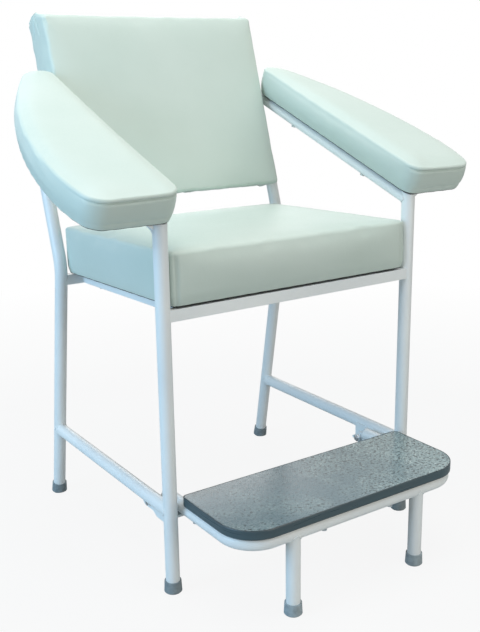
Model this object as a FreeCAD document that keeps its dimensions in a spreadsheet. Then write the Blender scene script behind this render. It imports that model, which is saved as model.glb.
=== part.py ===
import FreeCAD, Part
import math
import os
import Sketcher

# Phlebotomy chair: a welded round-tube frame with a deep seat, a raked back, two arm pads that
# slope down to the front, and a footrest that stands on its own legs and swings back under the seat.
# Millimetres and degrees. +Z is up, the sitter faces -Y and has +X on the left.
# The origin is on the floor, in the middle of the outline.

drivingSizes = {
    # Tubes of the frame
    "tubeDiameter": 25.0,
    "tubeWall": 1.5,
    "railWidth": 20.0,
    "railWall": 1.5,
    # Lines of the frame; its length and breadth follow the seat, and what lies across it
    # is set in or out from the legs' axes
    "rakeAngle": 10.2,
    "leanAngle": 17.0,
    "bendHeight": 516.0,
    "bendRadius": 110.0,
    "postLength": 352.0,
    "lowerRailHeight": 154.5,
    "seatRailHeight": 503.0,
    "seatTilt": 1.8,
    "seatRailInset": 53.0,
    "armRailHeight": 647.0,
    "armRise": 191.4,
    # Rubber feet and the caps in the tubes' ends
    "ferruleDiameter": 32.0,
    "ferruleHeight": 22.0,
    "ferruleFloor": 5.0,
    "ferruleTaper": 1.0,
    "ferruleBevel": 2.0,
    "capHead": 4.0,
    "capBevel": 1.5,
    "capStem": 14.0,
    # Seat cushion and its board
    "seatWidth": 510.0,
    "seatDepth": 419.0,
    "seatFront": 9.0,
    "seatLegGap": 3.5,
    "seatThickness": 87.0,
    "seatCrown": 8.0,
    "seatCorner": 8.0,
    "seatEdge": 7.0,
    "seatDraw": 4.0,
    "seatLift": 2.0,
    "seatBoardThickness": 12.0,
    "seatBoardInset": 12.0,
    "seatScrewMargin": 75.0,
    # Back cushion, its board and the bars that carry it
    "backLegGap": 17.0,
    "backLength": 367.0,
    "backRise": 115.0,
    "backThickness": 69.0,
    "backCrown": 5.0,
    "backCorner": 8.0,
    "backEdge": 7.0,
    "backDraw": 3.0,
    "backLift": 1.5,
    "backSetback": 3.0,
    "backBoardThickness": 12.0,
    "backBoardInset": 12.0,
    "backBarWidth": 40.0,
    "backBarThickness": 5.0,
    "lowerBarRise": 62.0,
    "upperBarRise": 162.0,
    "backScrewInset": 71.5,
    # Arm pads, measured up the slope from the front leg and in or out from the leg
    "padInnerReach": 22.5,
    "padOuterReach": 147.0,
    "padWidestPlace": 95.0,
    "padFront": 21.0,
    "padRearGap": 35.85,
    "padSweep": 760.0,
    "padShoulder": 330.0,
    "padOuterCorner": 40.0,
    "padInnerCorner": 27.0,
    "padTailCorner": 26.0,
    "padHeelCorner": 18.0,
    "padThickness": 54.0,
    "padCrown": 4.5,
    "padEdge": 5.0,
    "padDraw": 6.0,
    "padLift": 1.5,
    "padBoardThickness": 12.0,
    "padBoardInset": 12.0,
    "padScrewMargin": 130.0,
    "gussetReach": 30.0,
    "gussetDrop": 21.0,
    "gussetThickness": 4.0,
    # Footrest frame and board
    "footrestArmInset": 32.5,
    "footrestTubeHeight": 150.6,
    "footrestReach": 178.0,
    "footrestTail": 66.0,
    "footrestBend": 56.0,
    "footrestLegInset": 98.0,
    "boardOverhang": 0.5,
    "boardDepth": 188.0,
    "boardFront": 192.5,
    "boardThickness": 14.0,
    "boardFrontCorner": 66.0,
    "boardRearCorner": 10.0,
    "edgingThickness": 2.0,
    "treadThickness": 2.5,
    "boardScrewMargin": 30.0,
    "frontScrewSpacing": 150.0,
    # Footrest hinge, measured back from the front leg and up from the floor
    "pivotPlace": 96.0,
    "pivotHeight": 132.0,
    "bracketInset": 14.0,
    "bracketThickness": 4.0,
    "bracketFront": 20.0,
    "bracketFoot": 112.0,
    "bracketStep": 68.0,
    "bracketWaistPlace": 82.0,
    "bracketWaist": 119.0,
    "bracketRear": 122.0,
    "bracketRound": 14.0,
    "bracketTop": 156.0,
    "shelfDrop": 8.0,
    "shelfThickness": 4.0,
    "shelfLength": 22.0,
    "shelfReach": 29.0,
    "bufferDiameter": 18.0,
    "bufferBevel": 2.0,
    "lugThickness": 5.0,
    "lugRadius": 13.0,
    "lugFront": 48.0,
    "lugShoulder": 64.0,
    "lugNotch": 1.0,
    "stopDiameter": 6.0,
    "stopOffset": 20.0,
    # Fasteners
    "boltDiameter": 8.0,
    "boltHeadAcross": 13.0,
    "boltHeadHeight": 5.3,
    "boltEnd": 2.0,
    "washerDiameter": 16.0,
    "washerThickness": 1.6,
    "nutHeight": 6.5,
    "nutCollarDiameter": 11.4,
    "nutCollarHeight": 1.5,
    "bushDiameter": 18.0,
    "screwDiameter": 5.0,
    "screwHeadDiameter": 10.0,
    "screwHeadHeight": 3.0,
    "screwBite": 8.0,
    # Clearances, and the overrun of every cut
    "fitClearance": 0.05,
    "holeClearance": 0.1,
    "faceClearance": 0.25,
    "cutOverrun": 3.0,
}

# A cushion's wall: shares of its height and of its drawing-in there
wallShares = ((0.0, 1.0), (0.4, 0.0))
# Its top edge: shares of the edge's radius, down from the top and in from the side
edgeShares = ((1.0, 0.0), (0.25, 0.35), (0.0, 1.0))
# Its crown: shares of the crown's height and of the outline's size
crownShares = ((1.0, 0.6),)

document = FreeCAD.newDocument("PhlebotomyChair")
sheet = document.addObject("Spreadsheet::Sheet", "Sizes")
for row, (alias, number) in enumerate(drivingSizes.items(), start=1):
    sheet.set("A%d" % row, alias)
    sheet.set("B%d" % row, str(number))
    sheet.setAlias("B%d" % row, alias)
document.recompute()


class Size:
    """A number worked out from the sheet, together with the formula that gives it."""

    def __init__(self, value, text):
        self.value = value
        self.text = text

    def __add__(self, other):
        return Size(self.value + valueOf(other), "(%s + %s)" % (self.text, textOf(other)))

    def __sub__(self, other):
        return Size(self.value - valueOf(other), "(%s - %s)" % (self.text, textOf(other)))

    def __mul__(self, other):
        return Size(self.value * valueOf(other), "(%s * %s)" % (self.text, textOf(other)))

    def __truediv__(self, other):
        return Size(self.value / valueOf(other), "(%s / %s)" % (self.text, textOf(other)))

    def __neg__(self):
        return Size(-self.value, "(0 - %s)" % self.text)


def valueOf(item):
    return item.value if isinstance(item, Size) else float(item)


def textOf(item):
    return item.text if isinstance(item, Size) else str(item)


def sine(angle):
    return Size(math.sin(math.radians(angle.value)), "sin(%s)" % angle.text)


def cosine(angle):
    return Size(math.cos(math.radians(angle.value)), "cos(%s)" % angle.text)


def tangent(angle):
    return Size(math.tan(math.radians(angle.value)), "tan(%s)" % angle.text)


def root(square):
    return Size(math.sqrt(square.value), "sqrt(%s)" % square.text)


def slopeOf(rise, run):
    ratio = rise / run
    return Size(math.degrees(math.atan(ratio.value)), "(atan(%s) / 1 deg)" % ratio.text)


size = {alias: Size(float(getattr(sheet, alias)), "Sizes." + alias) for alias in drivingSizes}
zero = Size(0.0, "0")
quarterTurn = Size(90.0, "90")
xAxis = FreeCAD.Vector(1, 0, 0)
yAxis = FreeCAD.Vector(0, 1, 0)
zAxis = FreeCAD.Vector(0, 0, 1)
nodes = []


# Placing objects

def bind(item, name, amount):
    item.setExpression(name, textOf(amount))


def put(item, x=zero, y=zero, z=zero, axis=zAxis, angle=zero):
    """Places an item; the expressions keep it there when a size changes."""
    rotation = FreeCAD.Rotation(axis, valueOf(angle))
    item.Placement = FreeCAD.Placement(FreeCAD.Vector(valueOf(x), valueOf(y), valueOf(z)), rotation)
    bind(item, ".Placement.Base.x", x)
    bind(item, ".Placement.Base.y", y)
    bind(item, ".Placement.Base.z", z)
    if angle is not zero:
        bind(item, ".Placement.Rotation.Angle", angle)
    return item


class Frame:
    """A plane that leans about the X axis: places in it are across, along and out of it."""

    def __init__(self, y, z, angle, turnsUp):
        self.y = y
        self.z = z
        self.angle = angle
        self.turnsUp = turnsUp
        self.axis = xAxis if turnsUp else -xAxis

    def point(self, across, along, out):
        rise = along * sine(self.angle)
        shift = out * sine(self.angle)
        y = self.y + along * cosine(self.angle)
        z = self.z + out * cosine(self.angle)
        if self.turnsUp:
            return {"x": across, "y": y - shift, "z": z + rise}
        return {"x": across, "y": y + shift, "z": z - rise}

    def place(self, across, along, out):
        return {**self.point(across, along, out), "axis": self.axis, "angle": self.angle}


def node(item, name):
    item.Label = name
    nodes.append(item)
    return item


def mirror(item):
    """The same piece on the other side of the chair."""
    other = document.addObject("Part::Mirroring", item.Name + "_mirrored")
    other.Source = item
    other.Normal = xAxis
    other.Base = FreeCAD.Vector(0, 0, 0)
    return other


def pair(item, name):
    """A piece modelled on the sitter's left, and its mirror image on the right."""
    node(item, name + "_left")
    node(mirror(item), name + "_right")


def twins(item, name):
    """Two small pieces alike, one on each side, kept together as one node."""
    node(group(name, [item, mirror(item)]), name)


# Primitives and booleans

def cylinder(name, radius, length, **place):
    item = document.addObject("Part::Cylinder", name)
    bind(item, "Radius", radius)
    bind(item, "Height", length)
    return put(item, **place)


def box(name, length, width, height, **place):
    item = document.addObject("Part::Box", name)
    bind(item, "Length", length)
    bind(item, "Width", width)
    bind(item, "Height", height)
    return put(item, **place)


def hexagon(name, acrossFlats, height, **place):
    item = document.addObject("Part::Prism", name)
    item.Polygon = 6
    bind(item, "Circumradius", acrossFlats / cosine(quarterTurn / 3) / 2)
    bind(item, "Height", height)
    return put(item, **place)


def fuse(name, shapes):
    item = document.addObject("Part::MultiFuse", name)
    item.Shapes = shapes
    return item


def cut(name, base, tools):
    item = document.addObject("Part::Cut", name)
    item.Base = base
    item.Tool = tools[0] if len(tools) == 1 else fuse(name + "_tools", tools)
    return item


def group(name, items):
    item = document.addObject("Part::Compound", name)
    item.Links = items
    return item


# Sketches: every vertex is held at its place by formulas bound to the sheet

def flatPoint(place):
    return FreeCAD.Vector(valueOf(place[0]), valueOf(place[1]), 0)


def pin(item, geometry, point, place):
    for kind, amount, axis in (("DistanceX", place[0], -2), ("DistanceY", place[1], -1)):
        if amount is zero:
            item.addConstraint(Sketcher.Constraint("PointOnObject", geometry, point, axis))
        else:
            held = Sketcher.Constraint(kind, -1, 1, geometry, point, valueOf(amount))
            item.setExpression("Constraints[%d]" % item.addConstraint(held), textOf(amount))


def holdRadius(item, geometry, radius):
    held = Sketcher.Constraint("Radius", geometry, valueOf(radius))
    item.setExpression("Constraints[%d]" % item.addConstraint(held), textOf(radius))


def addCircle(item, centre, radius):
    circle = Part.Circle(flatPoint(centre), zAxis, valueOf(radius))
    index = item.addGeometry(circle, False)
    pin(item, index, 3, centre)
    holdRadius(item, index, radius)


def addPiece(item, piece):
    """A straight piece (start, end) or an anticlockwise arc (start, end, centre, radius)."""
    start, end = flatPoint(piece[0]), flatPoint(piece[1])
    if len(piece) == 2:
        return item.addGeometry(Part.LineSegment(start, end), False)
    centre = flatPoint(piece[2])
    first = math.atan2(start.y - centre.y, start.x - centre.x)
    last = math.atan2(end.y - centre.y, end.x - centre.x)
    if last < first:
        last += 2 * math.pi
    circle = Part.Circle(centre, zAxis, valueOf(piece[3]))
    return item.addGeometry(Part.ArcOfCircle(circle, first, last), False)


def addPath(item, pieces, closed=True):
    """Pieces joined end to end, each given anticlockwise round the outline."""
    indices = [addPiece(item, piece) for piece in pieces]
    for order, (index, piece) in enumerate(zip(indices, pieces)):
        if order or closed:
            item.addConstraint(Sketcher.Constraint("Coincident", indices[order - 1], 2, index, 1))
        pin(item, index, 1, piece[0])
        if len(piece) > 2:
            holdRadius(item, index, piece[3])
    if not closed:
        pin(item, indices[-1], 2, pieces[-1][1])


def polygon(corners):
    return list(zip(corners, corners[1:] + corners[:1]))


def roundedBox(left, right, low, high, lowRadius, highRadius):
    """A rectangle with one corner radius along its low side and another along its high side."""
    lowLeft = (left + lowRadius, low + lowRadius)
    lowRight = (right - lowRadius, low + lowRadius)
    highRight = (right - highRadius, high - highRadius)
    highLeft = (left + highRadius, high - highRadius)
    ends = [
        (lowLeft[0], low), (lowRight[0], low), (right, lowRight[1]), (right, highRight[1]),
        (highRight[0], high), (highLeft[0], high), (left, highLeft[1]), (left, lowLeft[1]),
    ]
    return [
        (ends[0], ends[1]), (ends[1], ends[2], lowRight, lowRadius),
        (ends[2], ends[3]), (ends[3], ends[4], highRight, highRadius),
        (ends[4], ends[5]), (ends[5], ends[6], highLeft, highRadius),
        (ends[6], ends[7]), (ends[7], ends[0], lowLeft, lowRadius),
    ]


# Bodies

def makeBody(name):
    return document.addObject("PartDesign::Body", name)


def makeSketch(body, name, plane):
    item = body.newObject("Sketcher::SketchObject", name)
    support = [feature for feature in body.Origin.OriginFeatures if feature.Role == plane][0]
    item.AttachmentSupport = (support, [""])
    item.MapMode = "FlatFace"
    return item


def plateBody(name, plane, thickness, outlines):
    """A plate cut from one outline, less any further outlines inside it."""
    body = makeBody(name)
    outline = makeSketch(body, name + "_outline", plane)
    for pieces in outlines:
        addPath(outline, pieces)
    item = body.newObject("PartDesign::Pad", name + "_pad")
    item.Profile = outline
    bind(item, "Length", thickness)
    return body


def turnedBody(name, corners):
    """A body turned about its own Z axis from a half section given as (radius, height)."""
    body = makeBody(name)
    outline = makeSketch(body, name + "_section", "XZ_Plane")
    addPath(outline, polygon(corners))
    item = body.newObject("PartDesign::Revolution", name + "_turned")
    item.Profile = outline
    item.ReferenceAxis = (outline, ["V_Axis"])
    item.Angle = 360
    return body


def bentTube(name, pathPlane, pieces, profilePlane, start):
    """A round tube bent along a path that begins at the start, square to the profile's plane."""
    body = makeBody(name)
    path = makeSketch(body, name + "_path", pathPlane)
    addPath(path, pieces, closed=False)
    profile = makeSketch(body, name + "_section", profilePlane)
    addCircle(profile, start, tubeRadius)
    addCircle(profile, start, boreRadius)
    item = body.newObject("PartDesign::AdditivePipe", name + "_bent")
    item.Profile = (profile, [""])
    item.Spine = (path, ["Edge%d" % (order + 1) for order in range(len(pieces))])
    return body


def looseSketch(name, pieces, height):
    """An outline that lies level at a height of its own."""
    item = document.addObject("Sketcher::SketchObject", name)
    addPath(item, pieces)
    return put(item, z=height)


def cushion(name, outline, thickness, crown, draw, edge, recess):
    """A stuffed shape: walls drawn in below, a rounded top edge and a crown, over a board's recess.

    The outline is a function of an inset and a share of the full size.
    """
    levels = []
    for heightShare, drawShare in wallShares:
        levels.append((thickness * heightShare, outline(draw * drawShare, 1)))
    for dropShare, insetShare in edgeShares:
        levels.append((thickness - edge * dropShare, outline(edge * insetShare, 1)))
    for riseShare, sizeShare in crownShares:
        levels.append((thickness + crown * riseShare, outline(edge * edgeShares[-1][1], sizeShare)))
    item = document.addObject("Part::Loft", name + "_stuffed")
    item.Sections = [
        looseSketch("%s_level_%d" % (name, order), pieces, height)
        for order, (height, pieces) in enumerate(levels)
    ]
    item.Solid = True
    item.Ruled = True
    return cut(name, item, [recess])


# Lines that several pieces share

tubeRadius = size["tubeDiameter"] / 2
boreRadius = tubeRadius - size["tubeWall"]
railHalf = size["railWidth"] / 2
ferruleRadius = size["ferruleDiameter"] / 2
screwRadius = size["screwDiameter"] / 2
sides = (("left", 1), ("right", -1))

# The legs stand beside the seat cushion, whose rear edge lies over the middle of the rear rail
legSpacing = size["seatWidth"] + size["tubeDiameter"] + size["seatLegGap"] * 2
legSide = legSpacing / 2
rearRailPlace = size["seatDepth"] - size["seatFront"]
footSpacing = (
    rearRailPlace * (cosine(size["seatTilt"]) - sine(size["seatTilt"]) * tangent(size["rakeAngle"]))
    + size["seatRailHeight"] * tangent(size["rakeAngle"]))
bendReach = footSpacing - size["bendHeight"] * tangent(size["rakeAngle"])
lowerLegLength = size["bendHeight"] / cosine(size["rakeAngle"])

# The outline runs from the footrest's ferrules to the top of the back cushion's rear face,
# and its middle is the origin
backReach = (
    bendReach
    + (size["backRise"] + size["backLength"] - size["backDraw"]) * sine(size["leanAngle"])
    + (size["backSetback"] - size["backLift"]) * cosine(size["leanAngle"]))
frontLeg = (size["footrestReach"] + ferruleRadius - backReach) / 2
rearFoot = frontLeg + footSpacing
bendPlace = frontLeg + bendReach

# The arm rail rises to the post's axis
armRun = (
    bendReach
    + (size["armRailHeight"] + size["armRise"] - size["bendHeight"]) * tangent(size["leanAngle"]))
armSlope = slopeOf(size["armRise"], armRun)
armRailLength = armRun / cosine(armSlope)
padInner = legSide - size["padInnerReach"]
padWidest = legSide + size["padOuterReach"]
padRear = armRailLength - size["padRearGap"]

# The seat's plane runs through the middles of its rails, the back's through the posts' axes,
# and the arm's lies on top of the arm rails
seatFrame = Frame(frontLeg, size["seatRailHeight"], size["seatTilt"], turnsUp=False)
backFrame = Frame(bendPlace, size["bendHeight"], quarterTurn - size["leanAngle"], turnsUp=True)
armTop = size["armRailHeight"] + tubeRadius / cosine(armSlope)
armFrame = Frame(frontLeg, armTop, armSlope, turnsUp=True)
floorFrame = Frame(frontLeg, zero, zero, turnsUp=True)

# Solid lines of the tubes, which their neighbours are coped to
frontLines, rakeLines, postLines = {}, {}, {}
for label, side in sides:
    across = legSide * side
    frontLines[label] = cylinder(
        "front_leg_line_" + label, tubeRadius, armTop + size["tubeDiameter"], x=across, y=frontLeg)
    rakeLines[label] = cylinder(
        "rear_leg_line_" + label, tubeRadius, lowerLegLength + size["cutOverrun"],
        x=across, y=rearFoot, axis=xAxis, angle=size["rakeAngle"])
    postLines[label] = cylinder(
        "post_line_" + label, tubeRadius, size["postLength"],
        x=across, y=bendPlace, z=size["bendHeight"], axis=-xAxis, angle=size["leanAngle"])


def tube(name, length, cutters, place):
    """A straight round tube, less its neighbours and holes."""
    outside = cylinder(name + "_outside", tubeRadius, length, **place)
    bore = cylinder(name + "_bore", boreRadius, length, **place)
    return cut(name, outside, [bore] + cutters)


def slopeBlock(name, across, breadth):
    """All that stands above the arm's plane round a front leg."""
    place = armFrame.place(across - breadth / 2, -breadth / 2, zero)
    return box(name, breadth, breadth, breadth, **place)


def screwHole(name, frame, across, along, low, depth):
    return cylinder(
        name, screwRadius + size["holeClearance"], depth, **frame.place(across, along, low))


def pilotHole(name, across, along):
    """A hole up into a board, in the board's own frame."""
    depth = size["screwBite"] + size["fitClearance"]
    return cylinder(name, screwRadius + size["fitClearance"], depth, x=across, y=along)


def screw(name, frame, across, along, seat, grip):
    """A screw out of the frame's plane, its round head under the seat's height."""
    shank = cylinder(
        name + "_shank", screwRadius, grip + size["screwBite"], **frame.place(across, along, seat))
    head = cylinder(
        name + "_head", size["screwHeadDiameter"] / 2, size["screwHeadHeight"],
        **frame.place(across, along, seat - size["screwHeadHeight"]))
    return fuse(name, [shank, head])


def ferrule(name, **place):
    """A rubber foot: a cup round the end of a leg, a little wider at the floor."""
    body = turnedBody(name, [
        (zero, zero),
        (ferruleRadius - size["ferruleBevel"], zero),
        (ferruleRadius, size["ferruleBevel"]),
        (ferruleRadius - size["ferruleTaper"], size["ferruleHeight"]),
        (tubeRadius + size["fitClearance"], size["ferruleHeight"]),
        (tubeRadius + size["fitClearance"], size["ferruleFloor"]),
        (zero, size["ferruleFloor"]),
    ])
    return put(body, **place)


def tubeCap(name, **place):
    """A plastic cap whose stem sits in a tube's end."""
    stem = boreRadius - size["fitClearance"]
    body = turnedBody(name, [
        (zero, -size["capStem"]),
        (stem, -size["capStem"]),
        (stem, zero),
        (tubeRadius, zero),
        (tubeRadius, size["capHead"] - size["capBevel"]),
        (tubeRadius - size["capBevel"], size["capHead"]),
        (zero, size["capHead"]),
    ])
    return put(body, **place)


# Front legs: upright, their tops cut on the arm's slope

frontLegCut = slopeBlock("front_leg_slope", legSide, size["tubeDiameter"] * 2)
frontLegPipe = tube(
    "front_leg", armTop + tubeRadius - size["ferruleFloor"], [frontLegCut],
    {"x": legSide, "y": frontLeg, "z": size["ferruleFloor"]})
pair(frontLegPipe, "front_leg")
twins(ferrule("ferrule_front", x=legSide, y=frontLeg), "front_ferrules")


# Rear legs: raked forward to a bend under the seat, then leaning back as the posts of the back

bendTurn = size["rakeAngle"] + size["leanAngle"]
bendLead = size["bendRadius"] * tangent(bendTurn / 2)
bendStart = lowerLegLength - size["ferruleFloor"] - bendLead
bendVertex = lowerLegLength - size["ferruleFloor"]
postStart = (bendLead * sine(bendTurn), bendVertex + bendLead * cosine(bendTurn))
postEnd = (
    size["postLength"] * sine(bendTurn), bendVertex + size["postLength"] * cosine(bendTurn))
# The path is given from the post's top down, so that its arc runs anticlockwise
rearLegPath = [
    (postEnd, postStart),
    (postStart, (zero, bendStart), (size["bendRadius"], bendStart), size["bendRadius"]),
    ((zero, bendStart), (zero, zero)),
]
rearLeg = bentTube("rear_leg", "YZ_Plane", rearLegPath, "XY_Plane", (zero, zero))
put(
    rearLeg, x=legSide, y=rearFoot - size["ferruleFloor"] * sine(size["rakeAngle"]),
    z=size["ferruleFloor"] * cosine(size["rakeAngle"]), axis=xAxis, angle=size["rakeAngle"])
pair(rearLeg, "rear_leg")

rearFerruleRound = ferrule(
    "ferrule_rear_round", x=legSide, y=rearFoot, axis=xAxis, angle=size["rakeAngle"])
belowFloor = box(
    "ferrule_rear_floor", size["tubeDiameter"] * 2, size["tubeDiameter"] * 2, size["ferruleHeight"],
    x=legSide - size["tubeDiameter"], y=rearFoot - size["tubeDiameter"], z=-size["ferruleHeight"])
rearFerrule = cut("ferrule_rear", rearFerruleRound, [belowFloor])
twins(rearFerrule, "rear_ferrules")

postCap = tubeCap(
    "post_cap", **{**backFrame.point(legSide, size["postLength"], zero),
                   "axis": -xAxis, "angle": size["leanAngle"]})
twins(postCap, "post_caps")


# Seat frame: square tubes, coped to the legs

hollow = size["railWidth"] - size["railWall"] * 2
crossBlocks = {}
for name, along, lines in (
        ("seat_front_rail", zero, frontLines), ("seat_rear_rail", rearRailPlace, rakeLines)):
    crossBlocks[name] = box(
        name + "_outside", legSpacing, size["railWidth"], size["railWidth"],
        **seatFrame.place(-legSide, along - railHalf, -railHalf))
    inside = box(
        name + "_bore", legSpacing, hollow, hollow,
        **seatFrame.place(-legSide, along - hollow / 2, -hollow / 2))
    rail = cut(name, crossBlocks[name], [inside, lines["left"], lines["right"]])
    node(rail, name)

seatScrewPlaces = (size["seatScrewMargin"], rearRailPlace - size["seatScrewMargin"])
seatRailAcross = legSide - size["seatRailInset"]
sideRailBlock = box(
    "seat_side_rail_outside", size["railWidth"], rearRailPlace, size["railWidth"],
    **seatFrame.place(seatRailAcross - railHalf, zero, -railHalf))
sideRailBore = box(
    "seat_side_rail_bore", hollow, rearRailPlace, hollow,
    **seatFrame.place(seatRailAcross - hollow / 2, zero, -hollow / 2))
sideRailHoles = [
    screwHole(
        "seat_side_rail_hole_%d" % order, seatFrame, seatRailAcross, along,
        -railHalf - size["cutOverrun"], size["railWidth"] + size["cutOverrun"] * 2)
    for order, along in enumerate(seatScrewPlaces)
]
sideRail = cut(
    "seat_side_rail", sideRailBlock, [sideRailBore] + list(crossBlocks.values()) + sideRailHoles)
pair(sideRail, "seat_side_rail")


# Lower side rails, which tie the legs and carry the footrest's hinges

lowerRailLength = footSpacing - size["lowerRailHeight"] * tangent(size["rakeAngle"])
lowerRailPlace = {
    "x": legSide, "y": frontLeg, "z": size["lowerRailHeight"], "axis": -xAxis, "angle": quarterTurn}
lowerRail = tube(
    "lower_side_rail", lowerRailLength, [frontLines["left"], rakeLines["left"]], lowerRailPlace)
pair(lowerRail, "lower_side_rail")


# Arm rails, from the front legs' tops up to the posts

armRailPlace = {
    "x": legSide, "y": frontLeg, "z": size["armRailHeight"],
    "axis": -xAxis, "angle": quarterTurn - armSlope}
armScrewPlaces = (size["padScrewMargin"], padRear - size["padScrewMargin"])
armRailHoles = [
    screwHole(
        "arm_rail_hole_%d" % order, armFrame, legSide, along,
        -size["tubeDiameter"] - size["cutOverrun"], size["tubeDiameter"] + size["cutOverrun"] * 2)
    for order, along in enumerate(armScrewPlaces)
]
armRail = tube(
    "arm_rail", armRailLength, [frontLines["left"], postLines["left"]] + armRailHoles, armRailPlace)
pair(armRail, "arm_rail")

# A web outboard of each front leg props the pad
gussetPlate = plateBody("arm_gusset_plate", "XZ_Plane", size["gussetThickness"], [polygon([
    (zero, -size["gussetDrop"]),
    (size["gussetReach"], -size["cutOverrun"] / 2),
    (size["gussetReach"], size["cutOverrun"]),
    (zero, size["cutOverrun"]),
])])
put(gussetPlate, x=legSide, y=frontLeg + size["gussetThickness"] / 2, z=armTop)
gussetSlope = slopeBlock("arm_gusset_slope", legSide, size["gussetReach"] * 3)
armGusset = cut("arm_gusset", gussetPlate, [frontLines["left"], gussetSlope])
pair(armGusset, "arm_gusset")


# Seat cushion on its board

def centredOutline(width, depth, corner):
    """A cushion's plan about its middle, as a function of an inset and a share."""
    def outline(inset, share):
        across = (width / 2 - inset) * share
        along = (depth / 2 - inset) * share
        radius = (corner - inset) * share
        return roundedBox(-across, across, -along, along, radius, radius)
    return outline


def boardBlock(name, width, depth, inset, thickness, lift):
    """A board about its own middle; the cushion's cover ends a little above its underside."""
    across = width / 2 - inset
    along = depth / 2 - inset
    return box(name, across * 2, along * 2, thickness, x=-across, y=-along, z=-lift)


seatMiddle = size["seatDepth"] / 2 - size["seatFront"]
seatPlace = seatFrame.place(zero, seatMiddle, railHalf + size["seatLift"])
seatBlock = boardBlock(
    "seat_board_block", size["seatWidth"], size["seatDepth"], size["seatBoardInset"],
    size["seatBoardThickness"], size["seatLift"])
seatStuffing = cushion(
    "seat_cushion", centredOutline(size["seatWidth"], size["seatDepth"], size["seatCorner"]),
    size["seatThickness"], size["seatCrown"], size["seatDraw"], size["seatEdge"], seatBlock)
node(put(seatStuffing, **seatPlace), "seat_cushion")

seatPilots = []
seatScrews = []
for order, along in enumerate(seatScrewPlaces):
    for label, side in sides:
        pilot = pilotHole(
            "seat_pilot_%s_%d" % (label, order), seatRailAcross * side, along - seatMiddle)
        bind(pilot, ".Placement.Base.z", -size["seatLift"])
        seatPilots.append(pilot)
    seatScrews.append(screw(
        "seat_screw_%d" % order, seatFrame, seatRailAcross, along, -railHalf, size["railWidth"]))
seatBoard = cut("seat_board", seatBlock, seatPilots)
node(put(seatBoard, **seatPlace), "seat_board")
twins(group("seat_screws_side", seatScrews), "seat_screws")


# Back cushion on its board, screwed to two flat bars between the posts

backWidth = legSpacing - size["tubeDiameter"] - size["backLegGap"] * 2
backMiddle = size["backRise"] + size["backLength"] / 2
barFace = -size["backSetback"]
backPlace = backFrame.place(zero, backMiddle, barFace + size["backLift"])
backBlock = boardBlock(
    "back_board_block", backWidth, size["backLength"], size["backBoardInset"],
    size["backBoardThickness"], size["backLift"])
backStuffing = cushion(
    "back_cushion", centredOutline(backWidth, size["backLength"], size["backCorner"]),
    size["backThickness"], size["backCrown"], size["backDraw"], size["backEdge"], backBlock)
node(put(backStuffing, **backPlace), "back_cushion")

backPilots = []
backScrews = []
for name, rise in (("lower", size["lowerBarRise"]), ("upper", size["upperBarRise"])):
    low = size["backRise"] + rise
    middle = low + size["backBarWidth"] / 2
    across = backWidth / 2 - size["backScrewInset"]
    strip = box(
        "back_bar_%s_strip" % name, legSpacing, size["backBarWidth"],
        size["backBarThickness"], **backFrame.place(-legSide, low, barFace - size["backBarThickness"]))
    cutters = [postLines["left"], postLines["right"]]
    for label, side in sides:
        cutters.append(screwHole(
            "back_bar_%s_hole_%s" % (name, label), backFrame, across * side, middle,
            barFace - size["backBarThickness"] - size["cutOverrun"],
            size["backBarThickness"] + size["cutOverrun"] * 2))
        pilot = pilotHole("back_pilot_%s_%s" % (name, label), across * side, middle - backMiddle)
        bind(pilot, ".Placement.Base.z", -size["backLift"])
        backPilots.append(pilot)
        backScrews.append(screw(
            "back_screw_%s_%s" % (name, label), backFrame, across * side, middle,
            barFace - size["backBarThickness"], size["backBarThickness"]))
    node(cut("back_bar_" + name, strip, cutters), "back_bar_" + name)
backBoard = cut("back_board", backBlock, backPilots)
node(put(backBoard, **backPlace), "back_board")
node(group("back_screws", backScrews), "back_screws")


# Arm pads: straight inside, one long sweep outside, narrow at the rear

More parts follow.
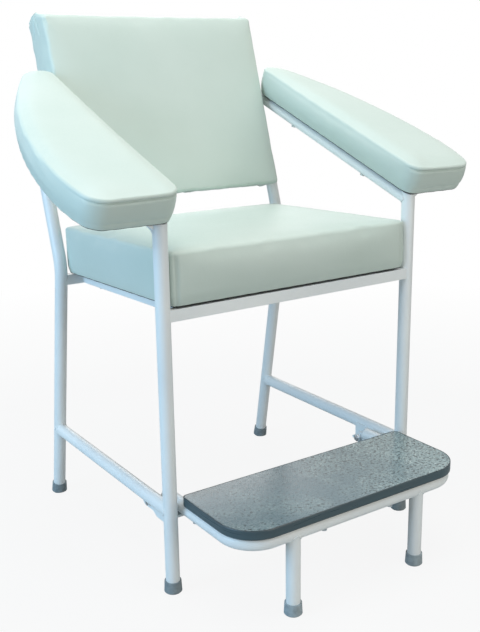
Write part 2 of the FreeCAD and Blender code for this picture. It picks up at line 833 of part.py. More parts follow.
def padOutline(inset, share):
    """The pad's plan in the arm's plane, as a function of an inset and a share."""
    inner, front, rear = padInner, -size["padFront"], padRear
    widest, widestPlace = padWidest, size["padWidestPlace"]
    sweep, shoulder = size["padSweep"], size["padShoulder"]
    outerCorner, innerCorner = size["padOuterCorner"], size["padInnerCorner"]
    tailCorner, heelCorner = size["padTailCorner"], size["padHeelCorner"]
    sweepCentre = (widest - sweep, widestPlace)
    shoulderCentre = (widest - shoulder, widestPlace)
    tailAlong = rear - tailCorner - widestPlace
    tailReach = sweep - tailCorner
    tailCentre = (
        sweepCentre[0] + root(tailReach * tailReach - tailAlong * tailAlong), rear - tailCorner)
    outerAlong = widestPlace - front - outerCorner
    outerReach = shoulder - outerCorner
    outerCentre = (
        shoulderCentre[0] + root(outerReach * outerReach - outerAlong * outerAlong),
        front + outerCorner)
    innerCentre = (inner + innerCorner, front + innerCorner)
    heelCentre = (inner + heelCorner, rear - heelCorner)

    def tangentPoint(large, small, reach, radius):
        part = (radius - inset) / reach
        return (large[0] + (small[0] - large[0]) * part, large[1] + (small[1] - large[1]) * part)

    frontStart = (innerCentre[0], front + inset)
    frontEnd = (outerCentre[0], front + inset)
    shoulderStart = tangentPoint(shoulderCentre, outerCentre, outerReach, shoulder)
    sweepStart = (widest - inset, widestPlace)
    sweepEnd = tangentPoint(sweepCentre, tailCentre, tailReach, sweep)
    rearStart = (tailCentre[0], rear - inset)
    rearEnd = (heelCentre[0], rear - inset)
    innerStart = (inner + inset, heelCentre[1])
    innerEnd = (inner + inset, innerCentre[1])
    pieces = [
        (frontStart, frontEnd),
        (frontEnd, shoulderStart, outerCentre, outerCorner - inset),
        (shoulderStart, sweepStart, shoulderCentre, shoulder - inset),
        (sweepStart, sweepEnd, sweepCentre, sweep - inset),
        (sweepEnd, rearStart, tailCentre, tailCorner - inset),
        (rearStart, rearEnd),
        (rearEnd, innerStart, heelCentre, heelCorner - inset),
        (innerStart, innerEnd),
        (innerEnd, frontStart, innerCentre, innerCorner - inset),
    ]
    if share == 1:
        return pieces
    middle = ((inner + widest) / 2, (front + rear) / 2)
    return [shrunk(piece, middle, share) for piece in pieces]


def shrunk(piece, middle, share):
    """A piece of an outline drawn smaller about a middle."""
    points = tuple(
        (middle[0] + (place[0] - middle[0]) * share, middle[1] + (place[1] - middle[1]) * share)
        for place in piece[:3])
    return points if len(piece) == 2 else points + (piece[3] * share,)


padBoardOutline = looseSketch(
    "arm_board_outline", padOutline(size["padBoardInset"], 1), -size["padLift"])
padBlock = document.addObject("Part::Extrusion", "arm_board_block")
padBlock.Base = padBoardOutline
padBlock.DirMode = "Custom"
padBlock.Dir = zAxis
padBlock.Solid = True
bind(padBlock, "LengthFwd", size["padBoardThickness"])
padStuffing = cushion(
    "arm_pad", padOutline, size["padThickness"], size["padCrown"], size["padDraw"],
    size["padEdge"], padBlock)
padPlace = armFrame.place(zero, zero, size["padLift"])
pair(put(padStuffing, **padPlace), "arm_pad")

armPilots = []
armScrews = []
for order, along in enumerate(armScrewPlaces):
    pilot = pilotHole("arm_pilot_%d" % order, legSide, along)
    bind(pilot, ".Placement.Base.z", -size["padLift"])
    armPilots.append(pilot)
    armScrews.append(screw(
        "arm_screw_%d" % order, armFrame, legSide, along, -size["tubeDiameter"],
        size["tubeDiameter"]))
armBoard = cut("arm_board", padBlock, armPilots)
pair(put(armBoard, **padPlace), "arm_board")
twins(group("arm_screws_side", armScrews), "arm_screws")


# Footrest: a bent tube on two legs, with a board screwed on top

armAcross = legSide - size["footrestArmInset"]
armLength = size["footrestReach"] + size["footrestTail"]
straight = -(armLength - size["footrestBend"])
corner = armAcross - size["footrestBend"]
footrestPath = [
    ((-armAcross, zero), (-armAcross, straight)),
    ((-armAcross, straight), (-corner, -armLength), (-corner, straight), size["footrestBend"]),
    ((-corner, -armLength), (corner, -armLength)),
    ((corner, -armLength), (armAcross, straight), (corner, straight), size["footrestBend"]),
    ((armAcross, straight), (armAcross, zero)),
]
footrestPipe = bentTube(
    "footrest_pipe", "XY_Plane", footrestPath, "XZ_Plane", (-armAcross, zero))
put(footrestPipe, y=frontLeg + size["footrestTail"], z=size["footrestTubeHeight"])

boardPlaces = [
    (armAcross, -size["boardScrewMargin"]),
    (size["frontScrewSpacing"] / 2, -size["footrestReach"]),
]
tubeLow = size["footrestTubeHeight"] - tubeRadius
tubeHigh = size["footrestTubeHeight"] + tubeRadius
footrestHoles = []
footrestScrews = []
boardPilots = []
for order, (across, along) in enumerate(boardPlaces):
    hole = screwHole(
        "footrest_hole_%d" % order, floorFrame, across, along, tubeLow - size["cutOverrun"],
        size["tubeDiameter"] + size["cutOverrun"] * 2)
    footrestHoles.extend([hole, mirror(hole)])
    pilot = pilotHole("footrest_pilot_%d" % order, across, along)
    boardPilots.extend([pilot, mirror(pilot)])
    footrestScrews.append(screw(
        "footrest_screw_%d" % order, floorFrame, across, along, tubeLow, size["tubeDiameter"]))
footrestTube = cut("footrest_tube", footrestPipe, footrestHoles)
node(footrestTube, "footrest_tube")
twins(group("footrest_screws_side", footrestScrews), "footrest_screws")

footrestFront = frontLeg - size["footrestReach"]
frontTubeLine = cylinder(
    "footrest_tube_line", tubeRadius, armAcross * 2,
    x=-armAcross, y=footrestFront, z=size["footrestTubeHeight"], axis=yAxis, angle=quarterTurn)
footLegAcross = armAcross - size["footrestLegInset"]
footrestLeg = tube(
    "footrest_leg", size["footrestTubeHeight"] - size["ferruleFloor"], [frontTubeLine],
    {"x": footLegAcross, "y": footrestFront, "z": size["ferruleFloor"]})
pair(footrestLeg, "footrest_leg")
twins(ferrule("ferrule_footrest", x=footLegAcross, y=footrestFront), "footrest_ferrules")
plug = tubeCap(
    "footrest_plug", x=armAcross, y=frontLeg + size["footrestTail"], z=size["footrestTubeHeight"],
    axis=-xAxis, angle=quarterTurn)
twins(plug, "footrest_plugs")

boardHalf = armAcross + tubeRadius + size["boardOverhang"]
boardLow = -size["boardFront"]
boardHigh = size["boardDepth"] - size["boardFront"]


def boardOutline(inset):
    return roundedBox(
        inset - boardHalf, boardHalf - inset, boardLow + inset, boardHigh - inset,
        size["boardFrontCorner"] - inset, size["boardRearCorner"] - inset)


boardPlank = plateBody(
    "footrest_plank", "XY_Plane", size["boardThickness"], [boardOutline(size["edgingThickness"])])
footrestBoard = cut("footrest_board", boardPlank, boardPilots)
node(put(footrestBoard, y=frontLeg, z=tubeHigh), "footrest_board")
edging = plateBody(
    "footrest_edging", "XY_Plane", size["boardThickness"] + size["treadThickness"],
    [boardOutline(zero), boardOutline(size["edgingThickness"])])
node(put(edging, y=frontLeg, z=tubeHigh), "footrest_edging")
tread = plateBody(
    "footrest_tread", "XY_Plane", size["treadThickness"], [boardOutline(size["edgingThickness"])])
node(put(tread, y=frontLeg, z=tubeHigh + size["boardThickness"]), "footrest_tread")


# Footrest hinges: a bracket under each lower side rail, with a shelf for the arm of the footrest
# and a pin that stops the lug when the footrest lies folded back

pivotAlong = frontLeg + size["pivotPlace"]
pivotRadius = size["boltDiameter"] / 2
bracketInner = legSide - size["bracketInset"]
bracketOuter = bracketInner + size["bracketThickness"]
lugOuter = armAcross + tubeRadius
lugInner = lugOuter - size["lugThickness"]


def pivotCylinder(name, radius, start, length):
    """A round piece along the pivot, from a place across the chair outwards."""
    return cylinder(
        name, radius, length, x=start, y=pivotAlong, z=size["pivotHeight"],
        axis=yAxis, angle=quarterTurn)


def pivotHexagon(name, acrossFlats, start, length):
    return hexagon(
        name, acrossFlats, length, x=start, y=pivotAlong, z=size["pivotHeight"],
        axis=yAxis, angle=quarterTurn)


bracketTail = size["bracketRear"] - size["bracketRound"]
bracketRoundHeight = size["bracketWaist"] + size["bracketRound"]
bracketPieces = polygon([
    (size["bracketFront"], size["bracketTop"]),
    (size["bracketFront"], size["bracketFoot"]),
    (size["bracketStep"], size["bracketFoot"]),
    (size["bracketWaistPlace"], size["bracketWaist"]),
    (bracketTail, size["bracketWaist"]),
    (size["bracketRear"], bracketRoundHeight),
    (size["bracketRear"], size["bracketTop"]),
])
bracketPieces[4] = bracketPieces[4] + ((bracketTail, bracketRoundHeight), size["bracketRound"])
bracketPlate = plateBody(
    "hinge_bracket_plate", "YZ_Plane", size["bracketThickness"], [bracketPieces])
put(bracketPlate, x=bracketInner, y=frontLeg)
shelfTop = tubeLow - size["shelfDrop"]
shelf = box(
    "hinge_bracket_shelf", size["shelfReach"], size["shelfLength"], size["shelfThickness"],
    x=bracketInner - size["shelfReach"], y=frontLeg + size["bracketFront"],
    z=shelfTop - size["shelfThickness"])
stopRadius = size["stopDiameter"] / 2
stopPin = cylinder(
    "hinge_bracket_stop", stopRadius, bracketOuter - lugInner,
    x=lugInner, y=pivotAlong + size["stopOffset"],
    z=size["pivotHeight"] - size["lugNotch"] - size["faceClearance"] - stopRadius,
    axis=yAxis, angle=quarterTurn)
railLine = cylinder("lower_side_rail_line", tubeRadius, lowerRailLength, **lowerRailPlace)
bracketHole = pivotCylinder(
    "hinge_bracket_hole", pivotRadius + size["fitClearance"], bracketInner - size["cutOverrun"],
    size["bracketThickness"] + size["cutOverrun"] * 2)
bracket = cut(
    "hinge_bracket", fuse("hinge_bracket_solid", [bracketPlate, shelf, stopPin]),
    [railLine, bracketHole])
pair(bracket, "hinge_bracket")

bufferRadius = size["bufferDiameter"] / 2
bufferHeight = size["shelfDrop"] - size["faceClearance"]
buffer = turnedBody("footrest_buffer", [
    (zero, zero),
    (bufferRadius, zero),
    (bufferRadius, bufferHeight - size["bufferBevel"]),
    (bufferRadius - size["bufferBevel"], bufferHeight),
    (zero, bufferHeight),
])
put(
    buffer, x=armAcross, y=frontLeg + size["bracketFront"] + size["shelfLength"] / 2, z=shelfTop)
twins(buffer, "footrest_buffers")

# The lug: round about the pivot, with a neck that rises to the arm's underside and is coped to it
lugLow = size["pivotHeight"] - size["lugRadius"]
neckHigh = size["pivotHeight"] + size["lugNotch"]
roundEnd = root(size["lugRadius"] * size["lugRadius"] - size["lugNotch"] * size["lugNotch"])
lugPieces = polygon([
    (size["lugFront"], lugLow),
    (size["pivotPlace"], lugLow),
    (size["pivotPlace"] - roundEnd, neckHigh),
    (size["lugShoulder"], neckHigh),
    (size["lugShoulder"], size["footrestTubeHeight"]),
    (size["lugFront"], size["footrestTubeHeight"]),
])
lugPieces[1] = lugPieces[1] + ((size["pivotPlace"], size["pivotHeight"]), size["lugRadius"])
lugPlate = plateBody("footrest_lug_plate", "YZ_Plane", size["lugThickness"], [lugPieces])
put(lugPlate, x=lugInner, y=frontLeg)
armLine = cylinder(
    "footrest_arm_line", tubeRadius, armLength, x=armAcross, y=footrestFront,
    z=size["footrestTubeHeight"], axis=-xAxis, angle=quarterTurn)
lugHole = pivotCylinder(
    "footrest_lug_hole", pivotRadius + size["fitClearance"], lugInner - size["cutOverrun"],
    size["lugThickness"] + size["cutOverrun"] * 2)
pair(cut("footrest_lug", lugPlate, [armLine, lugHole]), "footrest_lug")

bushStart = lugOuter + size["faceClearance"]
bushLength = bracketInner - bushStart
bushOutside = pivotCylinder("hinge_bush_outside", size["bushDiameter"] / 2, bushStart, bushLength)
bushBore = pivotCylinder(
    "hinge_bush_bore", pivotRadius + size["fitClearance"], bushStart, bushLength)
twins(cut("hinge_bush", bushOutside, [bushBore]), "hinge_bushes")

washerStart = lugInner - size["faceClearance"] - size["washerThickness"]
nutStart = washerStart - size["nutHeight"]
collarStart = nutStart - size["nutCollarHeight"]
shankStart = collarStart - size["boltEnd"]
nutSolid = fuse("hinge_nut_solid", [
    pivotCylinder(
        "hinge_nut_washer", size["washerDiameter"] / 2, washerStart, size["washerThickness"]),
    pivotHexagon("hinge_nut_hexagon", size["boltHeadAcross"], nutStart, size["nutHeight"]),
    pivotCylinder(
        "hinge_nut_collar", size["nutCollarDiameter"] / 2, collarStart, size["nutCollarHeight"]),
])
nutBore = pivotCylinder(
    "hinge_nut_bore", pivotRadius + size["fitClearance"], shankStart, lugInner - shankStart)
twins(cut("hinge_nut", nutSolid, [nutBore]), "hinge_nuts")
bolt = fuse("hinge_bolt", [
    pivotCylinder("hinge_bolt_shank", pivotRadius, shankStart, bracketOuter - shankStart),
    pivotHexagon(
        "hinge_bolt_head", size["boltHeadAcross"], bracketOuter, size["boltHeadHeight"]),
])
twins(bolt, "hinge_bolts")


# Check every object, then write the pieces

document.recompute()
faults = [item.Name for item in document.Objects if {"Invalid", "Error"} & set(item.State)]
for item in nodes:
    if item.Shape.isNull() or not item.Shape.isValid() or not item.Shape.Solids:
        faults.append(item.Label)
if faults:
    raise RuntimeError("not made: " + ", ".join(faults))

os.makedirs("parts", exist_ok=True)
outline = FreeCAD.BoundBox()
triangles = 0
for item in nodes:
    item.Shape.exportStep("parts/%s.step" % item.Label)
    outline.add(item.Shape.BoundBox)
    triangles += len(item.Shape.tessellate(0.1)[1])
print("%d pieces, about %d triangles" % (len(nodes), triangles))
print("outline from (%.1f, %.1f, %.1f)" % (outline.XMin, outline.YMin, outline.ZMin))
print("to (%.1f, %.1f, %.1f)" % (outline.XMax, outline.YMax, outline.ZMax))
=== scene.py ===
import math

import bmesh
import bpy
from mathutils import Matrix, Vector, kdtree, noise
from mathutils.geometry import delaunay_2d_cdt


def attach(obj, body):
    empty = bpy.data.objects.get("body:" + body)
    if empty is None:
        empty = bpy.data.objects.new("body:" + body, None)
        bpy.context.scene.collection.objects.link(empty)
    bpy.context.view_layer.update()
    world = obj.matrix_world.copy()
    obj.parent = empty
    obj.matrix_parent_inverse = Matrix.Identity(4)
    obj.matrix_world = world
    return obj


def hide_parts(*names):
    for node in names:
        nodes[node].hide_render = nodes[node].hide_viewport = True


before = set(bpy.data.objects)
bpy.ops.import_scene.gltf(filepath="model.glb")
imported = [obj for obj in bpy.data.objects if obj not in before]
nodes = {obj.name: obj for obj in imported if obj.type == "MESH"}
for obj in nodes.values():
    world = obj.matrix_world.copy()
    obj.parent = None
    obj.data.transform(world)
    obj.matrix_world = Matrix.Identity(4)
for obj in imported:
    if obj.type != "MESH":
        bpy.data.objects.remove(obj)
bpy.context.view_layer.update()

# Looks of a phlebotomy chair: white powder-coated tubes, mint vinyl over foam, a dark footrest.
# Lengths in the dictionaries are millimetres, and the scene is in metres.

mm = 0.001
acrossAxis = Vector((1, 0, 0))
sideSigns = {"left": 1, "right": -1}
print("frame loaded:", len(nodes), "nodes")


# Camera: off to the sitter's right, a little above the arm pads

cameraPlan = {
    "eye": (-974.1, -1443.8, 891.2),
    "turn": 33.98,
    "dip": 15.09,
    "roll": -0.88,
    "lens": 52.3,
    "sensor": 36.0,
    "reach": 60000,
}


def makeCamera(plan):
    turn, dip, roll = (math.radians(plan[key]) for key in ("turn", "dip", "roll"))
    ahead = Vector((math.sin(turn) * math.cos(dip), math.cos(turn) * math.cos(dip), -math.sin(dip)))
    right = Vector((math.cos(turn), -math.sin(turn), 0))
    up = right.cross(ahead)
    tiltedRight = right * math.cos(roll) + up * math.sin(roll)
    tiltedUp = up * math.cos(roll) - right * math.sin(roll)
    data = bpy.data.cameras.new("camera")
    data.lens = plan["lens"]
    data.sensor_width = plan["sensor"]
    data.clip_end = plan["reach"] * mm
    camera = bpy.data.objects.new("camera", data)
    axes = Matrix((tiltedRight, tiltedUp, -ahead)).transposed()
    camera.matrix_world = Matrix.Translation(Vector(plan["eye"]) * mm) @ axes.to_4x4()
    bpy.context.scene.collection.objects.link(camera)
    bpy.context.scene.camera = camera


makeCamera(cameraPlan)
print("camera placed")


# Small helpers for materials

def linearColour(code):
    shares = [int(code[place:place + 2], 16) / 255 for place in (1, 3, 5)]
    return [s / 12.92 if s <= 0.04045 else ((s + 0.055) / 1.055) ** 2.4 for s in shares] + [1.0]


def perMetre(size):
    return 1 / (size * mm)  # how many times a pattern of that size repeats in a metre


def addNode(material, kind, settings=None, links=None):
    node = material.node_tree.nodes.new("ShaderNode" + kind)
    for name, value in (settings or {}).items():
        if isinstance(name, str) and name not in node.inputs:
            setattr(node, name, value)
        else:
            node.inputs[name].default_value = value
    for name, socket in (links or {}).items():
        material.node_tree.links.new(socket, node.inputs[name])
    return node


def startMaterial(name):
    material = bpy.data.materials.new(name)
    material.use_nodes = True
    material.node_tree.nodes.clear()
    return material, addNode(material, "TexCoord").outputs["Object"]


def endMaterial(material, shader):
    addNode(material, "OutputMaterial", links={"Surface": shader.outputs[0]})
    return material


def fromTo(source, target=(0.0, 1.0)):
    # Settings of a map range: what it reads, and what that becomes
    return dict(zip(("From Min", "From Max", "To Min", "To Max"), (*source, *target)))


def shades(low, high):
    # Settings of a colour mix: its two ends
    return {"data_type": "RGBA", 6: linearColour(low), 7: linearColour(high)}


# Polyester powder coat, sprayed on steel and baked: a white skin with a faint orange peel that
# breaks up its soft highlights. The real peel is about 1.5 mm, drawn coarser so that it shows.

powderCoat = {
    "white": "#eff4f3",
    "shade": "#e5ebec",
    "cloudSize": 160,
    "cloudRange": (0.35, 0.7),
    "peelSize": 5,
    "peelRange": (0.3, 0.7),
    "peelDepth": 0.05,
    "peelStrength": 0.25,
    "roughness": (0.30, 0.42),
    "ior": 1.5,
}


def makePowderCoat(plan):
    material, place = startMaterial("powder-coated steel")
    cloud = addNode(
        material, "TexNoise", {"Scale": perMetre(plan["cloudSize"]), "Detail": 3}, {"Vector": place})
    peel = addNode(
        material, "TexNoise", {"Scale": perMetre(plan["peelSize"]), "Detail": 2}, {"Vector": place})
    share = addNode(material, "MapRange", fromTo(plan["cloudRange"]), {"Value": cloud.outputs["Fac"]})
    colour = addNode(
        material, "Mix", shades(plan["white"], plan["shade"]), {0: share.outputs["Result"]})
    rough = addNode(
        material, "MapRange", fromTo(plan["peelRange"], plan["roughness"]),
        {"Value": peel.outputs["Fac"]})
    bump = addNode(
        material, "Bump", {"Strength": plan["peelStrength"], "Distance": plan["peelDepth"] * mm},
        {"Height": peel.outputs["Fac"]})
    return endMaterial(material, addNode(
        material, "BsdfPrincipled", {"IOR": plan["ior"]},
        {"Base Color": colour.outputs[2], "Roughness": rough.outputs["Result"],
         "Normal": bump.outputs["Normal"]}))


# Upholstery vinyl: PVC on a knitted backing, embossed with a fine leather grain under a satin
# lacquer. It gives the mint cushions a soft sheen that rolls over their edges.
# The grain is about 1 mm, drawn coarser so that it shows.

vinyl = {
    "mint": "#cbd9d1",
    "mintDeep": "#c3d3ca",
    "cloudSize": 220,
    "cloudRange": (0.3, 0.7),
    "grainSize": 3.2,
    "grainRange": (0.1, 0.7),
    "grainDepth": 0.22,
    "grainStrength": 0.3,
    "creaseSize": 42,
    "creaseTwist": 0.6,
    "creaseDepth": 0.7,
    "creaseStrength": 0.35,
    "roughness": (0.40, 0.55),
    "ior": 1.52,
    "sheen": 0.06,
    "sheenRoughness": 0.5,
}


def makeVinyl(plan):
    material, place = startMaterial("upholstery vinyl")
    cloud = addNode(
        material, "TexNoise", {"Scale": perMetre(plan["cloudSize"]), "Detail": 4}, {"Vector": place})
    grain = addNode(
        material, "TexVoronoi", {"Scale": perMetre(plan["grainSize"]), "feature": "SMOOTH_F1"},
        {"Vector": place})
    crease = addNode(
        material, "TexNoise",
        {"Scale": perMetre(plan["creaseSize"]), "Detail": 3, "Distortion": plan["creaseTwist"]},
        {"Vector": place})
    share = addNode(material, "MapRange", fromTo(plan["cloudRange"]), {"Value": cloud.outputs["Fac"]})
    colour = addNode(
        material, "Mix", shades(plan["mint"], plan["mintDeep"]), {0: share.outputs["Result"]})
    rough = addNode(
        material, "MapRange", fromTo(plan["grainRange"], plan["roughness"]),
        {"Value": grain.outputs["Distance"]})
    soft = addNode(
        material, "Bump", {"Strength": plan["creaseStrength"], "Distance": plan["creaseDepth"] * mm},
        {"Height": crease.outputs["Fac"]})
    bump = addNode(
        material, "Bump", {"Strength": plan["grainStrength"], "Distance": plan["grainDepth"] * mm},
        {"Height": grain.outputs["Distance"], "Normal": soft.outputs["Normal"]})
    return endMaterial(material, addNode(
        material, "BsdfPrincipled",
        {"IOR": plan["ior"], "Sheen Weight": plan["sheen"], "Sheen Roughness": plan["sheenRoughness"]},
        {"Base Color": colour.outputs[2], "Roughness": rough.outputs["Result"],
         "Normal": bump.outputs["Normal"]}))


# Moulded rubber: mid grey and matt, with scuffs near the floor. The grit is drawn coarser.

mouldedRubber = {
    "grey": "#8a969a",
    "scuff": "#748085",
    "scuffSize": 9,
    "scuffRange": (0.35, 0.7),
    "roughRange": (0.3, 0.7),
    "roughness": (0.55, 0.75),
    "gritSize": 1.6,
    "gritDepth": 0.12,
    "gritStrength": 0.4,
    "ior": 1.52,
}

# The footrest's ferrules get a paler copy of the same rubber: painted light, for the brighter light
# they catch
paintedLightGreys = {"grey": "#a3b1b6", "scuff": "#8b989d"}


def makeRubber(name, plan):
    material, place = startMaterial(name)
    scuff = addNode(
        material, "TexNoise", {"Scale": perMetre(plan["scuffSize"]), "Detail": 5}, {"Vector": place})
    grit = addNode(
        material, "TexNoise", {"Scale": perMetre(plan["gritSize"]), "Detail": 2}, {"Vector": place})
    share = addNode(material, "MapRange", fromTo(plan["scuffRange"]), {"Value": scuff.outputs["Fac"]})
    colour = addNode(
        material, "Mix", shades(plan["grey"], plan["scuff"]), {0: share.outputs["Result"]})
    rough = addNode(
        material, "MapRange", fromTo(plan["roughRange"], plan["roughness"]),
        {"Value": scuff.outputs["Fac"]})
    bump = addNode(
        material, "Bump", {"Strength": plan["gritStrength"], "Distance": plan["gritDepth"] * mm},
        {"Height": grit.outputs["Fac"]})
    return endMaterial(material, addNode(
        material, "BsdfPrincipled", {"IOR": plan["ior"]},
        {"Base Color": colour.outputs[2], "Roughness": rough.outputs["Result"],
         "Normal": bump.outputs["Normal"]}))


# Safety flooring: calendered PVC sheet with dark chips and a pebbled face, satin enough to
# mirror the legs above it in broken streaks. Chips and pebbles are drawn coarser than life.

safetyFlooring = {
    "ground": "#65797e",
    "groundPale": "#869a9a",
    "chip": "#2c383b",
    "fleck": "#bccbc6",
    "chipSize": 5,
    "chipEdges": (0.625, 0.55),  # from the darker side of the sheet to the paler one
    "chipPaleRange": (0.0, 0.4),
    "chipRange": (0.0, 0.03),
    "chipShare": (0.0, 0.9),
    "fleckSize": 4.2,
    "fleckTwist": 0.8,
    "fleckRange": (0.56, 0.62),
    "fleckShare": (0.0, 0.75),
    "patchSize": 70,
    "patchRange": (0.35, 0.65),
    "patchShift": (-0.35, 0.35),
    "palePlaces": (-90, 200),
    "pebbleSize": 3.4,
    "pebbleRange": (0.1, 0.7),
    "pebbleDepth": 0.16,
    "pebbleStrength": 0.25,
    "roughness": (0.20, 0.32),
    "ior": 1.54,
}


def makeFlooring(plan):
    material, place = startMaterial("safety flooring")
    chips = addNode(
        material, "TexNoise", {"Scale": perMetre(plan["chipSize"]), "Detail": 2}, {"Vector": place})
    flecks = addNode(
        material, "TexNoise",
        {"Scale": perMetre(plan["fleckSize"]), "Detail": 1, "Distortion": plan["fleckTwist"]},
        {"Vector": place})
    patches = addNode(
        material, "TexNoise", {"Scale": perMetre(plan["patchSize"]), "Detail": 3}, {"Vector": place})
    pebbles = addNode(
        material, "TexVoronoi", {"Scale": perMetre(plan["pebbleSize"]), "feature": "SMOOTH_F1"},
        {"Vector": place})
    # The sheet turns paler towards the sitter's left, with more flecks and more of its chips showing
    # there
    across = addNode(material, "SeparateXYZ", {}, {"Vector": place})
    paleAcross = addNode(
        material, "MapRange", fromTo([reach * mm for reach in plan["palePlaces"]]),
        {"Value": across.outputs["X"]})
    blotch = addNode(
        material, "MapRange", fromTo(plan["patchRange"], plan["patchShift"]),
        {"Value": patches.outputs["Fac"]})
    paleness = addNode(
        material, "Math", {"operation": "ADD", "use_clamp": True},
        {0: paleAcross.outputs["Result"], 1: blotch.outputs["Result"]}).outputs[0]
    base = addNode(material, "Mix", shades(plan["ground"], plan["groundPale"]), {0: paleness})
    fleckShare = addNode(
        material, "MapRange", fromTo(plan["fleckRange"], plan["fleckShare"]),
        {"Value": flecks.outputs["Fac"]})
    fleckPale = addNode(
        material, "Math", {"operation": "MULTIPLY"}, {0: fleckShare.outputs["Result"], 1: paleness})
    flecked = addNode(
        material, "Mix", {"data_type": "RGBA", 7: linearColour(plan["fleck"])},
        {0: fleckPale.outputs[0], 6: base.outputs[2]})
    chipEdge = addNode(
        material, "MapRange", fromTo(plan["chipPaleRange"], plan["chipEdges"]), {"Value": paleness})
    beyondEdge = addNode(
        material, "Math", {"operation": "SUBTRACT"},
        {0: chips.outputs["Fac"], 1: chipEdge.outputs["Result"]})
    chipShare = addNode(
        material, "MapRange", fromTo(plan["chipRange"], plan["chipShare"]),
        {"Value": beyondEdge.outputs[0]})
    colour = addNode(
        material, "Mix", {"data_type": "RGBA", 7: linearColour(plan["chip"])},
        {0: chipShare.outputs["Result"], 6: flecked.outputs[2]})
    rough = addNode(
        material, "MapRange", fromTo(plan["pebbleRange"], plan["roughness"]),
        {"Value": pebbles.outputs["Distance"]})
    bump = addNode(
        material, "Bump", {"Strength": plan["pebbleStrength"], "Distance": plan["pebbleDepth"] * mm},
        {"Height": pebbles.outputs["Distance"]})
    return endMaterial(material, addNode(
        material, "BsdfPrincipled", {"IOR": plan["ior"]},
        {"Base Color": colour.outputs[2], "Roughness": rough.outputs["Result"],
         "Normal": bump.outputs["Normal"]}))


# Plain pieces: two shades that wander a little, over a fine bump. The grain is drawn coarser.

plainFinishes = {
    # Extruded ABS edging: slate blue, with the faint drag lines of its die
    "extruded ABS edging": {
        "colours": ("#425961", "#384d54"), "patchSize": 30, "grain": (0.05, 0.05, 0.8),
        "grainSize": 4, "grainDepth": 0.05, "roughness": (0.26, 0.36), "ior": 1.6},
    # Black-stained plywood under the cushions: dead matt, seen only as a dark line
    "black-stained plywood": {
        "colours": ("#1b1d1d", "#26282a"), "patchSize": 60, "grain": (0.15, 1.0, 1.0),
        "grainSize": 2.5, "grainDepth": 0.2, "roughness": (0.7, 0.85), "ior": 1.5},
    # Bare plywood under the tread: warm, with long grain across the chair
    "birch plywood": {
        "colours": ("#9a866a", "#7d6a50"), "patchSize": 14, "grain": (0.08, 1.0, 1.0),
        "grainSize": 3, "grainDepth": 0.15, "roughness": (0.55, 0.7), "ior": 1.5},
    # Moulded polythene caps and bushes: off-white and waxy
    "moulded polythene": {
        "colours": ("#e2e8ea", "#d6dee1"), "patchSize": 12, "grain": (1.0, 1.0, 1.0),
        "grainSize": 2, "grainDepth": 0.05, "roughness": (0.38, 0.5), "ior": 1.51},
    # Bottoming cloth: spun polypropylene, black and matt, stapled under each cushion. Carried just
    # round the lower edge of the vinyl, it is painted shade there, drawing the dark line along each
    # cushion's bottom.
    "bottoming cloth and painted shade": {
        "colours": ("#131617", "#1d2122"), "patchSize": 20, "grain": (1.0, 0.6, 1.0),
        "grainSize": 2, "grainDepth": 0.1, "roughness": (0.8, 0.95), "ior": 1.49},
}
plainRanges = {"patch": (0.35, 0.65), "grain": (0.3, 0.7)}
plainStrength = 0.4


def makePlain(name, plan):
    material, place = startMaterial(name)
    stretched = addNode(material, "Mapping", {"Scale": plan["grain"]}, {"Vector": place})
    patch = addNode(
        material, "TexNoise", {"Scale": perMetre(plan["patchSize"]), "Detail": 4},
        {"Vector": stretched.outputs["Vector"]})
    grain = addNode(
        material, "TexNoise", {"Scale": perMetre(plan["grainSize"]), "Detail": 3},
        {"Vector": stretched.outputs["Vector"]})
    share = addNode(material, "MapRange", fromTo(plainRanges["patch"]), {"Value": patch.outputs["Fac"]})
    colour = addNode(material, "Mix", shades(*plan["colours"]), {0: share.outputs["Result"]})
    rough = addNode(
        material, "MapRange", fromTo(plainRanges["grain"], plan["roughness"]),
        {"Value": grain.outputs["Fac"]})
    bump = addNode(
        material, "Bump", {"Strength": plainStrength, "Distance": plan["grainDepth"] * mm},
        {"Height": grain.outputs["Fac"]})
    return endMaterial(material, addNode(
        material, "BsdfPrincipled", {"IOR": plan["ior"]},
        {"Base Color": colour.outputs[2], "Roughness": rough.outputs["Result"],
         "Normal": bump.outputs["Normal"]}))


# Bright zinc plate: a cool metal with rolled and plated streaks, for the bolts and screws

zincPlate = {
    "metal": "#d6dadc",
    "streak": "#b9bfc3",
    "streakSize": 3,
    "streakRange": (0.35, 0.7),
    "roughRange": (0.3, 0.7),
    "roughness": (0.26, 0.42),
}


def makeZinc(plan):
    material, place = startMaterial("bright zinc plate")
    streak = addNode(
        material, "TexNoise", {"Scale": perMetre(plan["streakSize"]), "Detail": 4}, {"Vector": place})
    share = addNode(material, "MapRange", fromTo(plan["streakRange"]), {"Value": streak.outputs["Fac"]})
    colour = addNode(
        material, "Mix", shades(plan["metal"], plan["streak"]), {0: share.outputs["Result"]})
    rough = addNode(
        material, "MapRange", fromTo(plan["roughRange"], plan["roughness"]),
        {"Value": streak.outputs["Fac"]})
    return endMaterial(material, addNode(
        material, "BsdfPrincipled", {"Metallic": 1.0},
        {"Base Color": colour.outputs[2], "Roughness": rough.outputs["Result"]}))


coat = makePowderCoat(powderCoat)
mint = makeVinyl(vinyl)
rubber = makeRubber("moulded rubber", mouldedRubber)
# A lighter copy of the rubber, painted light, for the footrest's ferrules
litCopyRubber = makeRubber("rubber with painted light", {**mouldedRubber, **paintedLightGreys})
flooring = makeFlooring(safetyFlooring)
zinc = makeZinc(zincPlate)
plain = {name: makePlain(name, plan) for name, plan in plainFinishes.items()}
print("materials made:", len(bpy.data.materials))


# Rigid pieces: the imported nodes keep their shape, get a finish, and their edges are eased

